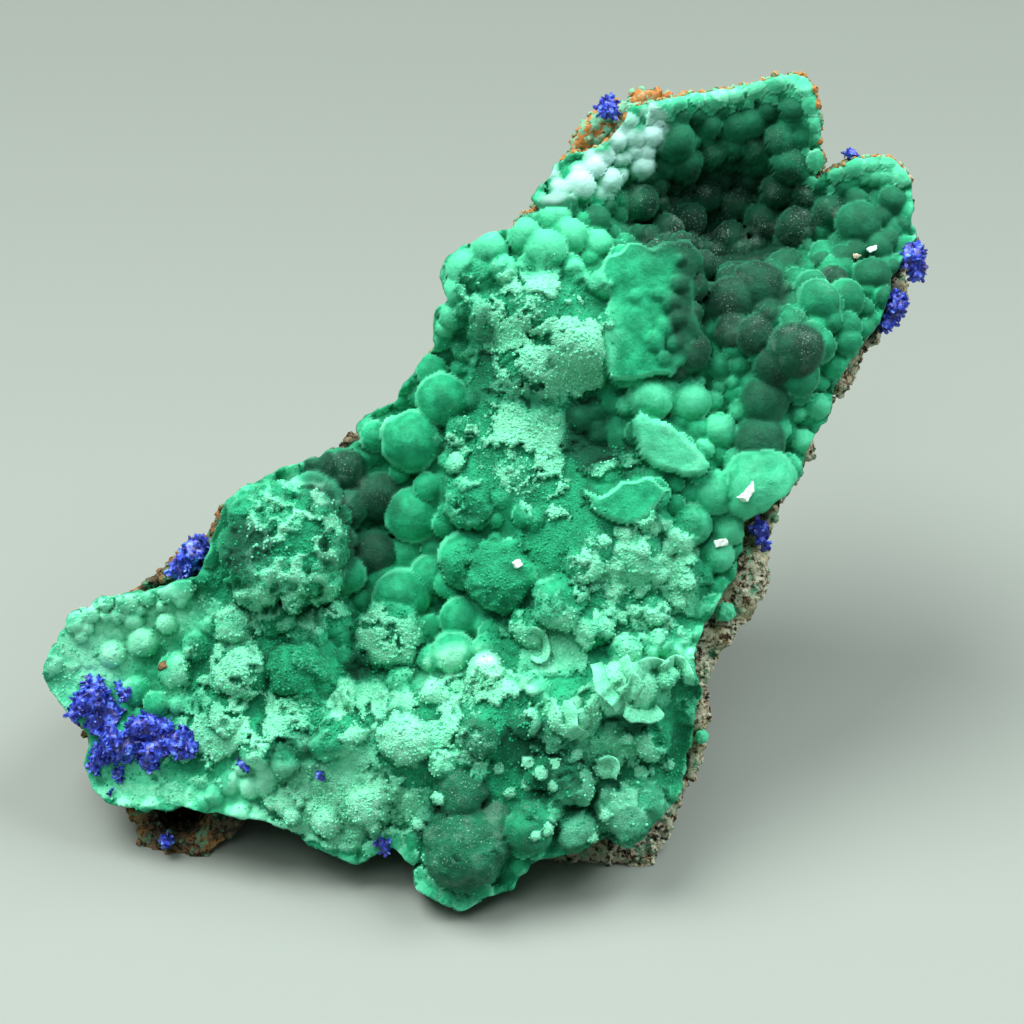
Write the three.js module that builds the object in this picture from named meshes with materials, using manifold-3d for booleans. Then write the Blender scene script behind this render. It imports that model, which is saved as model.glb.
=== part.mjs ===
// Malachite specimen: a crust of botryoidal malachite on brown limonite matrix,
// with small azurite clusters. It stands on its matrix and leans back.
//
// The face of the crust is laid out in a frame of its own: `across` runs to the
// right, `up` runs up the leaning face and `out` points away from it. All places
// below are [across, up, ...] in millimetres in that frame. The finished solids
// are then stood up on the table, +Z up.
import * as THREE from 'three';
import { mergeVertices } from 'three/addons/utils/BufferGeometryUtils.js';
import Module from 'manifold-3d';

const wasm = await Module();
wasm.setup();

// ---- Driving dimensions, millimetres and degrees -------------------------
const FACE_LEAN = 35;           // how far the face leans back from upright
const FACE_MIDDLE_HEIGHT = 39;  // height of the face's middle above the table
const FACE_WIDTH = 124;         // sheet that the outlines are cut from
const FACE_HEIGHT = 116;
const MESH_STEP = 4.2;          // spacing of the relief's grid
const LEVEL_REACH = 4;          // how far one level point spreads
const BACK_REACH = 9;
const LEVEL_TAIL = 1e-5;
const CRUST_LEAST = 4;          // the crust is nowhere thinner than this
const CRUST_BITE = 1;           // how deep the crust's back sits in the matrix
const SMALL_LUMP = 1.8;         // smaller lumps than this are plain twenty-sided ones
const GAP = 0.3;                // clearance between neighbouring pieces
const BALL_SINK = 0.3;          // share of its radius that a ball sinks
const LARGE_BALL = 5;           // balls over this radius are rounder
const SHEET_LIFT = 4;           // the outlines' middle sits this far up the face
const DEEP = 90;                // longer than any cut needs to be
const TABLE_CLEARANCE = 0.5;    // everything but the matrix stays this far off the table
const WELD = 1e-4;              // corners closer than this are one

// Lumpiness: how high the lumps are, how wide, and where their pattern starts.
const CRUST_LUMPS = { high: 0.9, wide: 5, from: [0, 0] };
const CONTACT_LUMPS = { high: 0.4, wide: 3, from: [0, 0] };
const BACK_LUMPS = { high: 2.6, wide: 11, from: [31, -17] };
const SIDE_LUMPS = { high: 1.6, wide: 6, from: [50, 0] };

// The matrix's block: it narrows towards the back, and its sides are broken.
const BLOCK_FRONT = 6;
const BLOCK_BACK = -60;
const BLOCK_SLICES = 9;
const TAPER = 0.0045;           // share that it narrows by, per millimetre of depth
const TAPER_START = -8;
const SIDE_EASE = 5;            // depth over which the broken sides begin

// Chips stand a little out of the crust, tipped.
const CHIP_RISE = 0.4;
const CHIP_TIP = 17;

// ---- Relief of the face: [across, up, out] -------------------------------
const FACE_LEVELS = [
  // roof of the vug, along its rim
  [4, 37, -7], [10, 42, -5], [15, 46, -4], [23, 50, -5], [32, 52, -5], [37, 46, -4], [37, 40, -6],
  // inside the vug
  [18, 41, -9], [23, 45, -11], [30, 48, -12], [26, 42, -20], [34, 42, -15],
  [16, 36, -24], [24, 37, -25], [32, 36, -24], [26, 31, -22],
  // wing on its right
  [41, 42, -11], [48, 41, -10], [40, 37, -18], [44, 35, -13], [49, 34, -9], [46, 28, -8], [40, 32, -12],
  // shoulder below the vug
  [28, 26, 0], [33, 26, 1], [33, 19, 4], [40, 24, -2], [43, 22, -6], [37, 15, -3],
  [14, 29, -1], [21, 28, -3], [15, 22, 1], [21, 20, -4], [12, 16, 1],
  // hump on the upper left
  [-7, 28, -4], [-1, 31, -1], [6, 33, -2], [11, 30, -1], [-1, 24, 4], [6, 24, 6], [8, 16, 7],
  [2, 20, 6], [-6, 23, -1],
  // saddle and the recess beside it
  [-1, 16, 0], [-6, 19, -9], [-8, 14, -9], [-13, 14, -10], [1, 9, 3], [-5, 8, 0], [4, 3, 4],
  [-5, 1, 1], [8, 1, 3], [9, 7, -7], [11, 13, -8], [15, 13, -5], [12, 8, -1],
  // bank along the right edge
  [18, 8, 1], [22, 4, 1], [25, 13, -4], [30, 11, -3], [36, 12, -7], [32, 5, -5], [26, 2, -2],
  [16, 2, 3], [21, -1, -1], [27, -1, -5], [25, -7, -4],
  // valley down the left
  [-9, 21, -9], [-13, 8, -9], [-22, 4, -10], [-20, -1, -13], [-14, 0, -11], [-15, -6, -12],
  [-8, -6, -9], [-13, -11, -10], [-7, -15, -6], [-19, -10, -9], [-4, -9, -3],
  // mound and the shallow pocket left of it
  [-26, -3, 1], [-30, 1, -1], [-32, -7, -1], [-21, -2, -2], [-25, -10, -2],
  [-46, -11, -4], [-55, -20, -7], [-42, -16, -9], [-35, -13, -3], [-48, -20, -5], [-51, -28, -8],
  [-42, -27, -4], [-48, -34, -7], [-39, -33, -3],
  // lower face, toe and right-hand face
  [-31, -17, 0], [-23, -18, 1], [-32, -25, -1], [-23, -30, 1], [-31, -34, -2], [-20, -40, -2],
  [-15, -14, -3], [-18, -18, -5], [-11, -26, 4], [-3, -20, 5], [-13, -32, 3], [-14, -39, -3],
  [-5, -33, 4], [-6, -40, 1], [-6, -45, -2], [2, -36, 3], [10, -38, -1],
  [0, -8, 3], [10, -5, 5], [17, -7, 4], [22, -11, -2], [6, -15, 3], [15, -14, 0], [10, -21, 6],
  [16, -20, 5], [21, -27, -4], [5, -28, 5], [12, -33, 2], [19, -33, -4],
];

// Where the crust meets the matrix, and the matrix's own back.
const CONTACT_LEVELS = [
  [-56, -20, -11], [-44, -10, -9], [-36, 0, -8], [-22, 8, -13], [-10, 18, -13], [-8, 30, -9],
  [4, 40, -10], [20, 52, -9], [36, 52, -9], [48, 42, -12], [50, 32, -12], [46, 22, -10],
  [38, 10, -9], [32, -2, -9], [28, -12, -8], [23, -24, -8], [20, -36, -7], [10, -42, -7],
  [-5, -40, -8], [-24, -38, -8], [-44, -38, -9], [-5, -10, -6], [8, 10, -6], [8, -25, -4],
];
const BACK_LEVELS = [
  [-54, -22, -20], [-44, -10, -23], [-43, -36, -27], [-30, -2, -29], [-30, -20, -38], [-30, -36, -42],
  [-12, 12, -30], [-8, -10, -42], [-8, -30, -50], [0, 30, -24], [12, 30, -35], [12, 10, -40],
  [14, -10, -44], [14, -30, -47], [20, 50, -19], [34, 50, -20], [34, 36, -33], [48, 36, -22],
  [40, 18, -25], [31, 0, -30], [24, -20, -34], [22, -38, -34],
];

// ---- Outlines: [across, up] ----------------------------------------------
const CRUST_OUTLINE = [
  [-57, -20], [-53, -12], [-49, -10], [-38, -8], [-35, -2], [-31, 3], [-25, 6], [-18, 9], [-16, 12],
  [-12, 16], [-9, 20], [-7, 25], [-8, 29], [-5, 32], [0, 34], [4, 36], [3, 38], [8, 43], [13, 46],
  [15, 49], [22, 50], [27, 51], [32, 53], [36, 51], [37, 47], [37, 41], [41, 43], [47, 42],
  [49, 39], [48, 34], [46, 28], [44, 22], [39, 17], [38, 12], [35, 8], [34, 4], [28, -1],
  [27, -7], [22, -13], [21, -17], [22, -21], [21, -29], [19, -34], [14, -40], [10, -39], [2, -41],
  [-3, -45], [-6, -46], [-11, -44], [-13, -40], [-18, -42], [-24, -40], [-31, -36], [-39, -35],
  [-44, -36], [-50, -33], [-51, -29], [-53, -23],
];
const MATRIX_OUTLINE = [
  [-48, -36], [-45, -43], [-38, -43], [-32, -36], [-16, -34], [0, -35], [3, -42], [17, -43], [20, -36],
  [23, -30], [24, -19], [28, -13], [30, -9], [31, -4], [34, 2], [37, 10], [43, 20], [48, 25],
  [51, 33], [50, 41], [46, 44], [39, 43], [37, 49], [36, 53], [32, 55], [26, 52], [16, 51],
  [10, 49], [7, 44], [2, 37], [-6, 29], [-9, 21], [-14, 13], [-26, 5], [-34, 1], [-38, -3],
  [-44, -8], [-51, -12], [-56, -21], [-52, -29],
];

// Flat plates that stand free of the crust: outline, front level and thickness.
const PLATES = [
  {
    front: 2, thick: 6,
    outline: [
      [10, 28], [12, 31], [17, 31], [21, 32], [23, 29], [21, 25], [21, 20], [19, 16], [15, 15], [11, 16],
    ],
  },
  { front: 3, thick: 5, outline: [[14, 9], [15, 11], [18, 11], [21, 8], [24, 5], [22, 4], [16, 5]] },
  { front: 4, thick: 5, outline: [[8, 2], [13, 4], [17, 4], [18, 1], [15, -2], [10, -1]] },
];

// ---- Balls of malachite: [across, up, radius], seated on the face ---------
const BALLS = [
  // roof, vug and wing
  [16, 38, 2.4], [20, 45, 2.6], [34, 42, 2.4], [35, 35, 2.6], [42, 34, 2.6],
  // grape cluster
  [29, 26, 3.4], [26, 25, 3.1], [36, 25, 2.8], [33, 19, 3.5], [21, 18, 2.8],
  // hump
  [-3, 24, 3.4], [3, 24, 3.2], [8, 20, 3.6], [2, 17, 3.2],
  // right-hand bank
  [30, 13, 3.1], [29, 8, 3.3], [29, 3, 4.6],
  // valley
  [-12, 8, 3.9], [-8, 13, 3.4], [-12, 0, 3.6], [-16, 2, 3], [-17, -5, 3], [-5, -6, 3.3],
  [-13, -11, 3.6], [-14, -15, 4.4], [-1, -7, 3.8], [-5, 2, 3.4],
  // mound and pocket
  [-27, -4, 7], [-31, -4, 3.2], [-24, 1, 3.6], [-40, -21, 3],
  // lower face
  [-24, -20, 3.6], [-32, -19, 3.4], [-30, -27, 3.2], [-12, -27, 3], [-6, -32, 3.2],
  [-6, -40, 5.4], [7, -31, 3], [14, -34, 4], [2, -37, 3], [-20, -26, 3.2],
  [-17, -34, 3.2], [-4, -26, 3],
  // right-hand face
  [9, -4, 3.4], [15, -5, 3.4], [20, -8, 3], [5, -11, 3.2], [10, -12, 3.4],
  [13, -20, 3.8], [7, -23, 3.2], [16, -26, 3.2],
];

// ---- Small separate growths: lumps of [across, up, radius] ----------------
const AZURITE_CLUSTERS = {
  azurite_patch: {
    lumps: [
      [-50, -21, 2.2], [-52, -23, 2], [-49, -24, 2.3], [-48, -27, 2.4], [-45, -26, 2.4], [-43, -28, 2.3],
      [-42, -25, 2.2], [-40, -27, 1.9], [-45, -30, 1.9], [-50, -29, 1.9],
    ],
  },
  azurite_ledge: { lumps: [[-38, -5, 2.1], [-40, -7, 1.7], [-37, -6.5, 1.6]], out: -7 },
  azurite_roof_left: { lumps: [[11.5, 48.5, 1.7]], out: -7 },
  azurite_roof_right: { lumps: [[41.2, 43, 1.3]], out: -11 },
  azurite_wing: { lumps: [[48.5, 31, 1.9], [49, 29, 1.3]], out: -10 },
  azurite_shoulder: { lumps: [[46, 25, 2], [45, 23, 1.7]], out: -9 },
  azurite_bank: { lumps: [[30, -2, 1.7], [30, -4, 1.4]], out: -9 },
  azurite_leg: { lumps: [[-41.5, -39.5, 1.1]], out: -7.5 },
  azurite_spot_1: { lumps: [[-15, -39.2, 1.2]], out: -0.4 },
  azurite_spot_2: { lumps: [[-31.5, -29.5, 1.1]] },
  azurite_spot_3: { lumps: [[-22.5, -31, 1.1]] },
  azurite_spot_4: { lumps: [[-48, -33.5, 1.1]] },
};
const MALACHITE_BEADS = {
  malachite_bead_1: { lumps: [[25.6, -12, 1.4]], out: -7 },
  malachite_bead_2: { lumps: [[22.8, -27, 1]], out: -7 },
};
const LIMONITE_CRUMBS = {
  limonite_crumb_1: { lumps: [[-41.5, -18.5, 0.9]] },
  limonite_crumb_2: { lumps: [[41.5, 30.5, 1]] },
};
// Pale calcite chips: place, [length, width, thickness] and turn in degrees.
const CALCITE_CHIPS = {
  calcite_chip_1: { at: [43.5, 31.5], size: [1.5, 1.2, 1.6], turn: 20 },
  calcite_chip_2: { at: [27.4, 2.4], size: [2.4, 0.9, 1.8], turn: 55 },
  calcite_chip_3: { at: [24.4, -3.6], size: [1.6, 0.8, 1.6], turn: 10 },
  calcite_chip_4: { at: [0.5, -6], size: [0.9, 0.8, 1.6], turn: 30 },
};

// ---- Finishes -------------------------------------------------------------
const finish = {
  malachite: new THREE.MeshStandardMaterial({ color: 0x2fb47d, roughness: 0.75, metalness: 0 }),
  limonite: new THREE.MeshStandardMaterial({ color: 0x5a4026, roughness: 0.95, metalness: 0 }),
  azurite: new THREE.MeshStandardMaterial({ color: 0x2a2fb0, roughness: 0.45, metalness: 0 }),
  calcite: new THREE.MeshStandardMaterial({ color: 0xd9f2e8, roughness: 0.5, metalness: 0 }),
};

// ---- Solids ----------------------------------------------------------------
function solidOf(geometry) {
  const bare = geometry.index ? geometry.clone() : geometry;
  bare.deleteAttribute('normal');
  bare.deleteAttribute('uv');
  const merged = mergeVertices(bare, WELD);
  return new wasm.Manifold(new wasm.Mesh({
    numProp: 3,
    vertProperties: Float32Array.from(merged.attributes.position.array),
    triVerts: Uint32Array.from(merged.index.array),
  }));
}

function geometryOf(solid) {
  const mesh = solid.getMesh();
  const geometry = new THREE.BufferGeometry();
  const positions = new Float32Array(mesh.numVert * 3);
  for (let i = 0; i < mesh.numVert; i += 1) {
    positions.set(mesh.vertProperties.slice(i * mesh.numProp, i * mesh.numProp + 3), i * 3);
  }
  geometry.setAttribute('position', new THREE.BufferAttribute(positions, 3));
  geometry.setIndex(new THREE.BufferAttribute(Uint32Array.from(mesh.triVerts), 1));
  return geometry;
}

// A cut can leave crumbs; the largest body is the piece.
function largestBody(solid) {
  const bodies = solid.decompose();
  if (bodies.length === 0) {
    throw new Error('nothing is left of a piece');
  }
  return bodies.reduce((best, body) => (body.volume() > best.volume() ? body : best));
}

// ---- Relief ----------------------------------------------------------------
function lattice(i, j) {
  const wave = Math.sin(i * 127.1 + j * 311.7) * 43758.5453;
  return wave - Math.floor(wave);
}

// Smooth lumpiness, as high and as wide as the lumps given.
function lumpiness(across, up, { high, wide, from }) {
  const x = (across + from[0]) / wide;
  const y = (up + from[1]) / wide;
  const i = Math.floor(x);
  const j = Math.floor(y);
  const u = THREE.MathUtils.smoothstep(x - i, 0, 1);
  const v = THREE.MathUtils.smoothstep(y - j, 0, 1);
  const near = THREE.MathUtils.lerp(lattice(i, j), lattice(i + 1, j), u);
  const far = THREE.MathUtils.lerp(lattice(i, j + 1), lattice(i + 1, j + 1), u);
  return high * (2 * THREE.MathUtils.lerp(near, far, v) - 1);
}

// The level at a place is the average of the level points, the near ones most.
// Far from them all, a faint tail keeps the average defined.
function levelFrom(points, reach, across, up) {
  let total = 0;
  let weights = 0;
  for (const [a, b, level] of points) {
    const distance = Math.hypot(across - a, up - b);
    const tail = LEVEL_TAIL / (1 + distance ** 4);
    const weight = Math.exp(-0.5 * (distance / reach) ** 2) + tail;
    total += weight * level;
    weights += weight;
  }
  return total / weights;
}

function faceLevel(across, up) {
  return levelFrom(FACE_LEVELS, LEVEL_REACH, across, up) + lumpiness(across, up, CRUST_LUMPS);
}

function contactLevel(across, up) {
  const drawn = levelFrom(CONTACT_LEVELS, BACK_REACH, across, up);
  return Math.min(drawn, faceLevel(across, up) - CRUST_LEAST);
}

function matrixFront(across, up) {
  return contactLevel(across, up) + lumpiness(across, up, CONTACT_LUMPS);
}

function matrixBack(across, up) {
  return levelFrom(BACK_LEVELS, BACK_REACH, across, up) + lumpiness(across, up, BACK_LUMPS);
}

// A wide sheet whose two faces follow the two level functions.
function sheet(frontOf, backOf, step) {
  const columns = Math.round(FACE_WIDTH / step);
  const rows = Math.round(FACE_HEIGHT / step);
  const geometry = new THREE.BoxGeometry(FACE_WIDTH, FACE_HEIGHT, 2, columns, rows, 1);
  const position = geometry.attributes.position;
  for (let i = 0; i < position.count; i += 1) {
    const across = position.getX(i);
    const up = position.getY(i) + SHEET_LIFT;
    const level = position.getZ(i) > 0 ? frontOf(across, up) : backOf(across, up);
    position.setXYZ(i, across, up, level);
  }
  return solidOf(geometry);
}

// The outline moved outward by `grow`, as a straight prism along `out`.
function prism(outline, grow, back, front) {
  const points = outline.map(([x, y]) => new THREE.Vector2(x, y));
  const turn = THREE.ShapeUtils.isClockWise(points) ? -1 : 1;
  const moved = points.map((point, i) => {
    const before = points[(i + points.length - 1) % points.length];
    const after = points[(i + 1) % points.length];
    const along = after.clone().sub(before).normalize();
    return new THREE.Vector2(point.x + turn * along.y * grow, point.y - turn * along.x * grow);
  });
  const depth = front - back;
  const geometry = new THREE.ExtrudeGeometry(new THREE.Shape(moved), { depth, bevelEnabled: false });
  geometry.translate(0, 0, back);
  return solidOf(geometry);
}

// The matrix's broken block: its outline narrows and turns lumpy towards the back.
function brokenBlock(outline) {
  const shape = new THREE.Shape(outline.map(([x, y]) => new THREE.Vector2(x, y)));
  const depth = BLOCK_FRONT - BLOCK_BACK;
  const geometry = new THREE.ExtrudeGeometry(shape, { depth, steps: BLOCK_SLICES, bevelEnabled: false });
  geometry.translate(0, 0, BLOCK_BACK);
  const position = geometry.attributes.position;
  for (let i = 0; i < position.count; i += 1) {
    const [x, y, out] = [position.getX(i), position.getY(i), position.getZ(i)];
    const below = Math.max(0, TAPER_START - out);
    const keep = 1 - TAPER * below;
    const lump = Math.min(1, below / SIDE_EASE) * lumpiness(x + y, out, SIDE_LUMPS);
    const distance = Math.hypot(x, y);
    const scale = keep + lump / distance;
    position.setXYZ(i, x * scale, y * scale, out);
  }
  return solidOf(geometry);
}

function ball(across, up, out, radius) {
  const detail = radius > LARGE_BALL ? 2 : Number(radius > SMALL_LUMP);
  const geometry = new THREE.IcosahedronGeometry(radius, detail);
  geometry.rotateX(across);
  geometry.rotateY(up);
  geometry.translate(across, up, out);
  return solidOf(geometry);
}

// ---- The large pieces -------------------------------------------------------
function crust(grow) {
  const front = (across, up) => faceLevel(across, up) + grow;
  const back = (across, up) => contactLevel(across, up) - CRUST_BITE - grow;
  let body = sheet(front, back, MESH_STEP).intersect(prism(CRUST_OUTLINE, grow, -DEEP, DEEP));
  for (const { outline, front: top, thick } of PLATES) {
    body = body.add(prism(outline, grow, top - thick - grow, top + grow));
  }
  for (const [across, up, radius] of BALLS) {
    const out = faceLevel(across, up) - BALL_SINK * radius;
    body = body.add(ball(across, up, out, radius + grow));
  }
  return largestBody(body);
}

function matrix() {
  return sheet(matrixFront, matrixBack, MESH_STEP).intersect(brokenBlock(MATRIX_OUTLINE));
}

// The top of the finished crust at a place, with its balls and plates.
function crustTop(across, up) {
  const tops = BALLS.map(([a, b, radius]) => {
    const aside = Math.hypot(across - a, up - b);
    return aside < radius
      ? faceLevel(a, b) - BALL_SINK * radius + Math.sqrt(radius ** 2 - aside ** 2)
      : -DEEP;
  });
  return Math.max(faceLevel(across, up), ...tops);
}

// A small growth: its lumps joined and cut back to the pieces that it sits on.
function growth({ lumps, out }) {
  const parts = lumps.map(([across, up, radius]) => {
    const level = out ?? crustTop(across, up);
    return ball(across, up, level, radius);
  });
  return parts.reduce((whole, part) => whole.add(part));
}

function chip({ at, size, turn }) {
  const [across, up] = at;
  const geometry = new THREE.BoxGeometry(...size);
  geometry.rotateZ(THREE.MathUtils.degToRad(turn));
  geometry.rotateY(THREE.MathUtils.degToRad(CHIP_TIP));
  geometry.translate(across, up, crustTop(across, up) + CHIP_RISE);
  return solidOf(geometry);
}

// ---- Standing the specimen up on the table ---------------------------------
const standing = new THREE.Matrix4()
  .makeTranslation(0, 0, FACE_MIDDLE_HEIGHT)
  .multiply(new THREE.Matrix4().makeRotationX(THREE.MathUtils.degToRad(90 - FACE_LEAN)));

function stand(solid) {
  const geometry = geometryOf(solid);
  geometry.applyMatrix4(standing);
  return solidOf(geometry);
}

function aboveTable(height) {
  const geometry = new THREE.BoxGeometry(4 * DEEP, 4 * DEEP, 2 * DEEP);
  geometry.translate(0, 0, DEEP + height);
  return solidOf(geometry);
}

const crustSolid = stand(crust(0));
const crustRoom = stand(crust(GAP));
const matrixSolid = largestBody(stand(matrix()).intersect(aboveTable(0)).subtract(crustRoom));

const pieces = [
  ['limonite_matrix', matrixSolid, finish.limonite],
  ['malachite_crust', crustSolid.intersect(aboveTable(TABLE_CLEARANCE)), finish.malachite],
];

// The small pieces are cut back to the crust and the matrix beneath them.
function addSmall(table, make, material) {
  for (const [name, piece] of Object.entries(table)) {
    const room = stand(make(piece)).intersect(aboveTable(TABLE_CLEARANCE));
    const cut = room.subtract(crustRoom).subtract(matrixSolid);
    pieces.push([name, largestBody(cut), material]);
  }
}
addSmall(AZURITE_CLUSTERS, growth, finish.azurite);
addSmall(MALACHITE_BEADS, growth, finish.malachite);
addSmall(LIMONITE_CRUMBS, growth, finish.limonite);
addSmall(CALCITE_CHIPS, chip, finish.calcite);

// ---- The specimen, its origin under the middle of its box -------------------
const specimen = new THREE.Group();
for (const [name, solid, material] of pieces) {
  const mesh = new THREE.Mesh(geometryOf(solid), material);
  mesh.name = name;
  specimen.add(mesh);
}
const box = new THREE.Box3().setFromObject(specimen);
const middle = box.getCenter(new THREE.Vector3());
specimen.position.set(-middle.x, -middle.y, -box.min.z);

export default specimen;
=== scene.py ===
# %% [markdown]
# # A malachite specimen
#
# The real object is a stone: a crust of botryoidal malachite, which grew as
# thousands of round green balls, on brown limonite matrix, with a few blue
# azurite clusters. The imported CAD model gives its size, its stance and its
# large relief. This file gives it the fine surface and the colours of the
# minerals, and keeps every CAD piece where it is.

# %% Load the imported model
import math

import bmesh
import bpy
import numpy as np
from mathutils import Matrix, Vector, noise
from mathutils.bvhtree import BVHTree
from mathutils.geometry import delaunay_2d_cdt


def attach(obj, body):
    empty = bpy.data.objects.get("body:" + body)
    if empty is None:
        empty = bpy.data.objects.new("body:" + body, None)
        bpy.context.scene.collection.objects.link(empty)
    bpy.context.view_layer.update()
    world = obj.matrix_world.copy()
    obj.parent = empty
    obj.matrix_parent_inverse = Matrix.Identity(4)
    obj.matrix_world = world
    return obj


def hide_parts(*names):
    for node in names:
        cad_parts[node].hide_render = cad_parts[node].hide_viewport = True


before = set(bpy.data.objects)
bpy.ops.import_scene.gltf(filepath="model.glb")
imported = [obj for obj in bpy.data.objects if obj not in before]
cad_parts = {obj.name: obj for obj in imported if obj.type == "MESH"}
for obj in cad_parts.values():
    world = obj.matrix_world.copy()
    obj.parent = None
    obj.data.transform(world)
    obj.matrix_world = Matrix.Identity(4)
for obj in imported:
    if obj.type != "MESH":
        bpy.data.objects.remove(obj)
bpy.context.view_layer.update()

# %% [markdown]
# ## A ruler that lies on the face
#
# The face of the stone leans back from upright, so places on it are easiest to
# give in a frame of its own: `across` to the right, `up` along the leaning face
# and `out` away from it, all in millimetres. One function turns them into
# Blender's metres. Everything below is laid out with it.

# %% The face's own frame
MM = 0.001
FACE_LEAN = math.radians(35)
FACE_ORIGIN = np.array((3.3, -10.1, 39.0))
ACROSS = np.array((1.0, 0.0, 0.0))
UP = np.array((0.0, math.sin(FACE_LEAN), math.cos(FACE_LEAN)))
OUT = np.array((0.0, -math.cos(FACE_LEAN), math.sin(FACE_LEAN)))


def stand(across, up, out):
    """Points given on the face, as an array of places in metres."""
    across, up, out = np.broadcast_arrays(across, up, out)
    placed = across[..., None] * ACROSS + up[..., None] * UP + out[..., None] * OUT
    return (placed + FACE_ORIGIN) * MM


def on_face(places):
    """The reverse: places in metres as across, up and out."""
    local = np.asarray(places) / MM - FACE_ORIGIN
    return local @ ACROSS, local @ UP, local @ OUT


# %% [markdown]
# ## Noise helpers
#
# Minerals never repeat, so the surface needs a few kinds of seeded noise. Soft
# clouds break up colours and levels. Domes are cell noise turned into round
# lumps, which is just how a crust of tiny crystals swells.

# %% Soft clouds and round domes
def smooth(low, high, value):
    """Eases from 0 at low to 1 at high."""
    t = np.clip((value - low) / (high - low), 0, 1)
    return t * t * (3 - 2 * t)


def clouds(x, y, scale, seed):
    """Smooth noise from -1 to 1 with features `scale` wide."""
    table = np.random.default_rng(seed).uniform(-1, 1, (256, 256))
    gx = x / scale
    gy = y / scale
    i = np.floor(gx).astype(int)
    j = np.floor(gy).astype(int)
    s = smooth(0, 1, gx - i)
    t = smooth(0, 1, gy - j)
    low = table[i % 256, j % 256] * (1 - s) + table[(i + 1) % 256, j % 256] * s
    high = table[i % 256, (j + 1) % 256] * (1 - s) + table[(i + 1) % 256, (j + 1) % 256] * s
    return low * (1 - t) + high * t


def domes(x, y, scale, seed):
    """Round lumps from 0 to 1, each about `scale` wide, that meet in creases."""
    rng = np.random.default_rng(seed)
    shift_x = rng.uniform(0, 1, (256, 256))
    shift_y = rng.uniform(0, 1, (256, 256))
    gx = x / scale
    gy = y / scale
    i = np.floor(gx).astype(int)
    j = np.floor(gy).astype(int)
    nearest = np.full(gx.shape, 9.0)
    for di in (-1, 0, 1):
        for dj in (-1, 0, 1):
            ci = (i + di) % 256
            cj = (j + dj) % 256
            away = (i + di + shift_x[ci, cj] - gx) ** 2 + (j + dj + shift_y[ci, cj] - gy) ** 2
            nearest = np.minimum(nearest, away)
    return np.sqrt(np.clip(1 - nearest, 0, 1))


def blurred(field, reach):
    """The field softened over `reach` grid steps, one direction after the other."""
    taps = np.arange(-int(3 * reach), int(3 * reach) + 1)
    weights = np.exp(-0.5 * (taps / reach) ** 2)
    weights /= weights.sum()
    for axis in (0, 1):
        pad = [(0, 0), (0, 0)]
        pad[axis] = (len(taps) // 2, len(taps) // 2)
        wide = np.pad(field, pad, mode="edge")
        size = field.shape[axis]
        field = sum(w * wide.take(range(k, k + size), axis) for k, w in enumerate(weights))
    return field


# %% [markdown]
# ## The crust's outline
#
# The crust broke off along an uneven edge. A list of the turns that its shape
# needs is enough; small scallops are added between them, because a botryoidal
# crust ends in half balls.

# %% Outline of the crust
CRUST_OUTLINE = [
    (-56.5, -20), (-55, -16.5), (-52.5, -12.5), (-49, -10.5), (-43, -9.5), (-37.5, -8), (-36, -5.5),
    (-35, -2), (-33.5, 1), (-31, 3), (-28, 4.5), (-25, 6), (-21.5, 7), (-18, 8.5), (-18.5, 10.5),
    (-16.5, 12.5), (-14, 13), (-12, 16.5), (-9, 20), (-9, 24), (-7.5, 25), (-8.5, 28), (-7.5, 30.5),
    (-4.5, 32), (0, 33.5), (1.5, 35), (4, 36), (2.5, 37.5), (5.5, 41.5), (7.5, 43), (11, 43.5), (13, 46),
    (14.5, 48.5), (17, 49), (20, 49.5), (22.5, 50.5), (27, 51), (32, 52.5), (34.5, 52.5), (36, 51.5),
    (37, 48), (37.5, 43), (36.8, 40.4), (39, 41.6), (42, 42.8), (46, 43), (48.6, 40.4), (48.5, 35.5),
    (49, 33.5), (47, 31), (45.5, 28), (44, 23), (41.5, 20), (39.5, 17.5), (38, 15), (38.5, 12.5),
    (37.5, 11), (35.5, 9), (34.5, 7), (34.5, 4.5), (30.5, 1), (27.5, -1), (27, -4), (26.5, -7.5),
    (24, -10.5), (22.5, -13.5), (21, -17), (22, -21), (21, -26.5), (20.5, -30.5), (19, -34.5),
    (16.5, -36.5), (14, -39.5), (11.5, -38), (9.5, -39), (5.5, -40), (2, -41), (0, -44), (-3, -45),
    (-6, -46.5), (-9, -45.5), (-11, -44), (-12, -41), (-13.5, -39.5), (-15, -39.5), (-18, -42),
    (-20.5, -41), (-24, -39.5), (-26.5, -37.5), (-29, -36.5), (-32.5, -36), (-39.5, -35), (-44.5, -35.5),
    (-48.5, -35), (-50.5, -33), (-51.5, -30.5), (-50.5, -27), (-54, -23),
]
SCALLOP = 0.45


def scalloped(outline, depth, pitch, seed):
    """The outline with small round bites between its turns."""
    corners = np.array(outline, float)
    after = np.roll(corners, -1, axis=0)
    points = []
    for start, end in zip(corners, after):
        steps = max(2, round(np.linalg.norm(end - start) / 0.4))
        shares = np.arange(steps)[:, None] / steps
        points.append(start + (end - start) * shares)
    line = np.vstack(points)
    along = np.roll(line, -1, axis=0) - np.roll(line, 1, axis=0)
    normal = np.stack((-along[:, 1], along[:, 0]), 1)
    normal /= np.linalg.norm(normal, axis=1)[:, None]
    bump = domes(line[:, 0], line[:, 1], pitch, seed) + 0.6 * clouds(line[:, 0], line[:, 1], 1.1, seed)
    return line + normal * (depth * (bump - 0.6))[:, None]


OUTLINE = scalloped(CRUST_OUTLINE, SCALLOP, 2.6, 3)
print("outline points:", len(OUTLINE))

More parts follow.
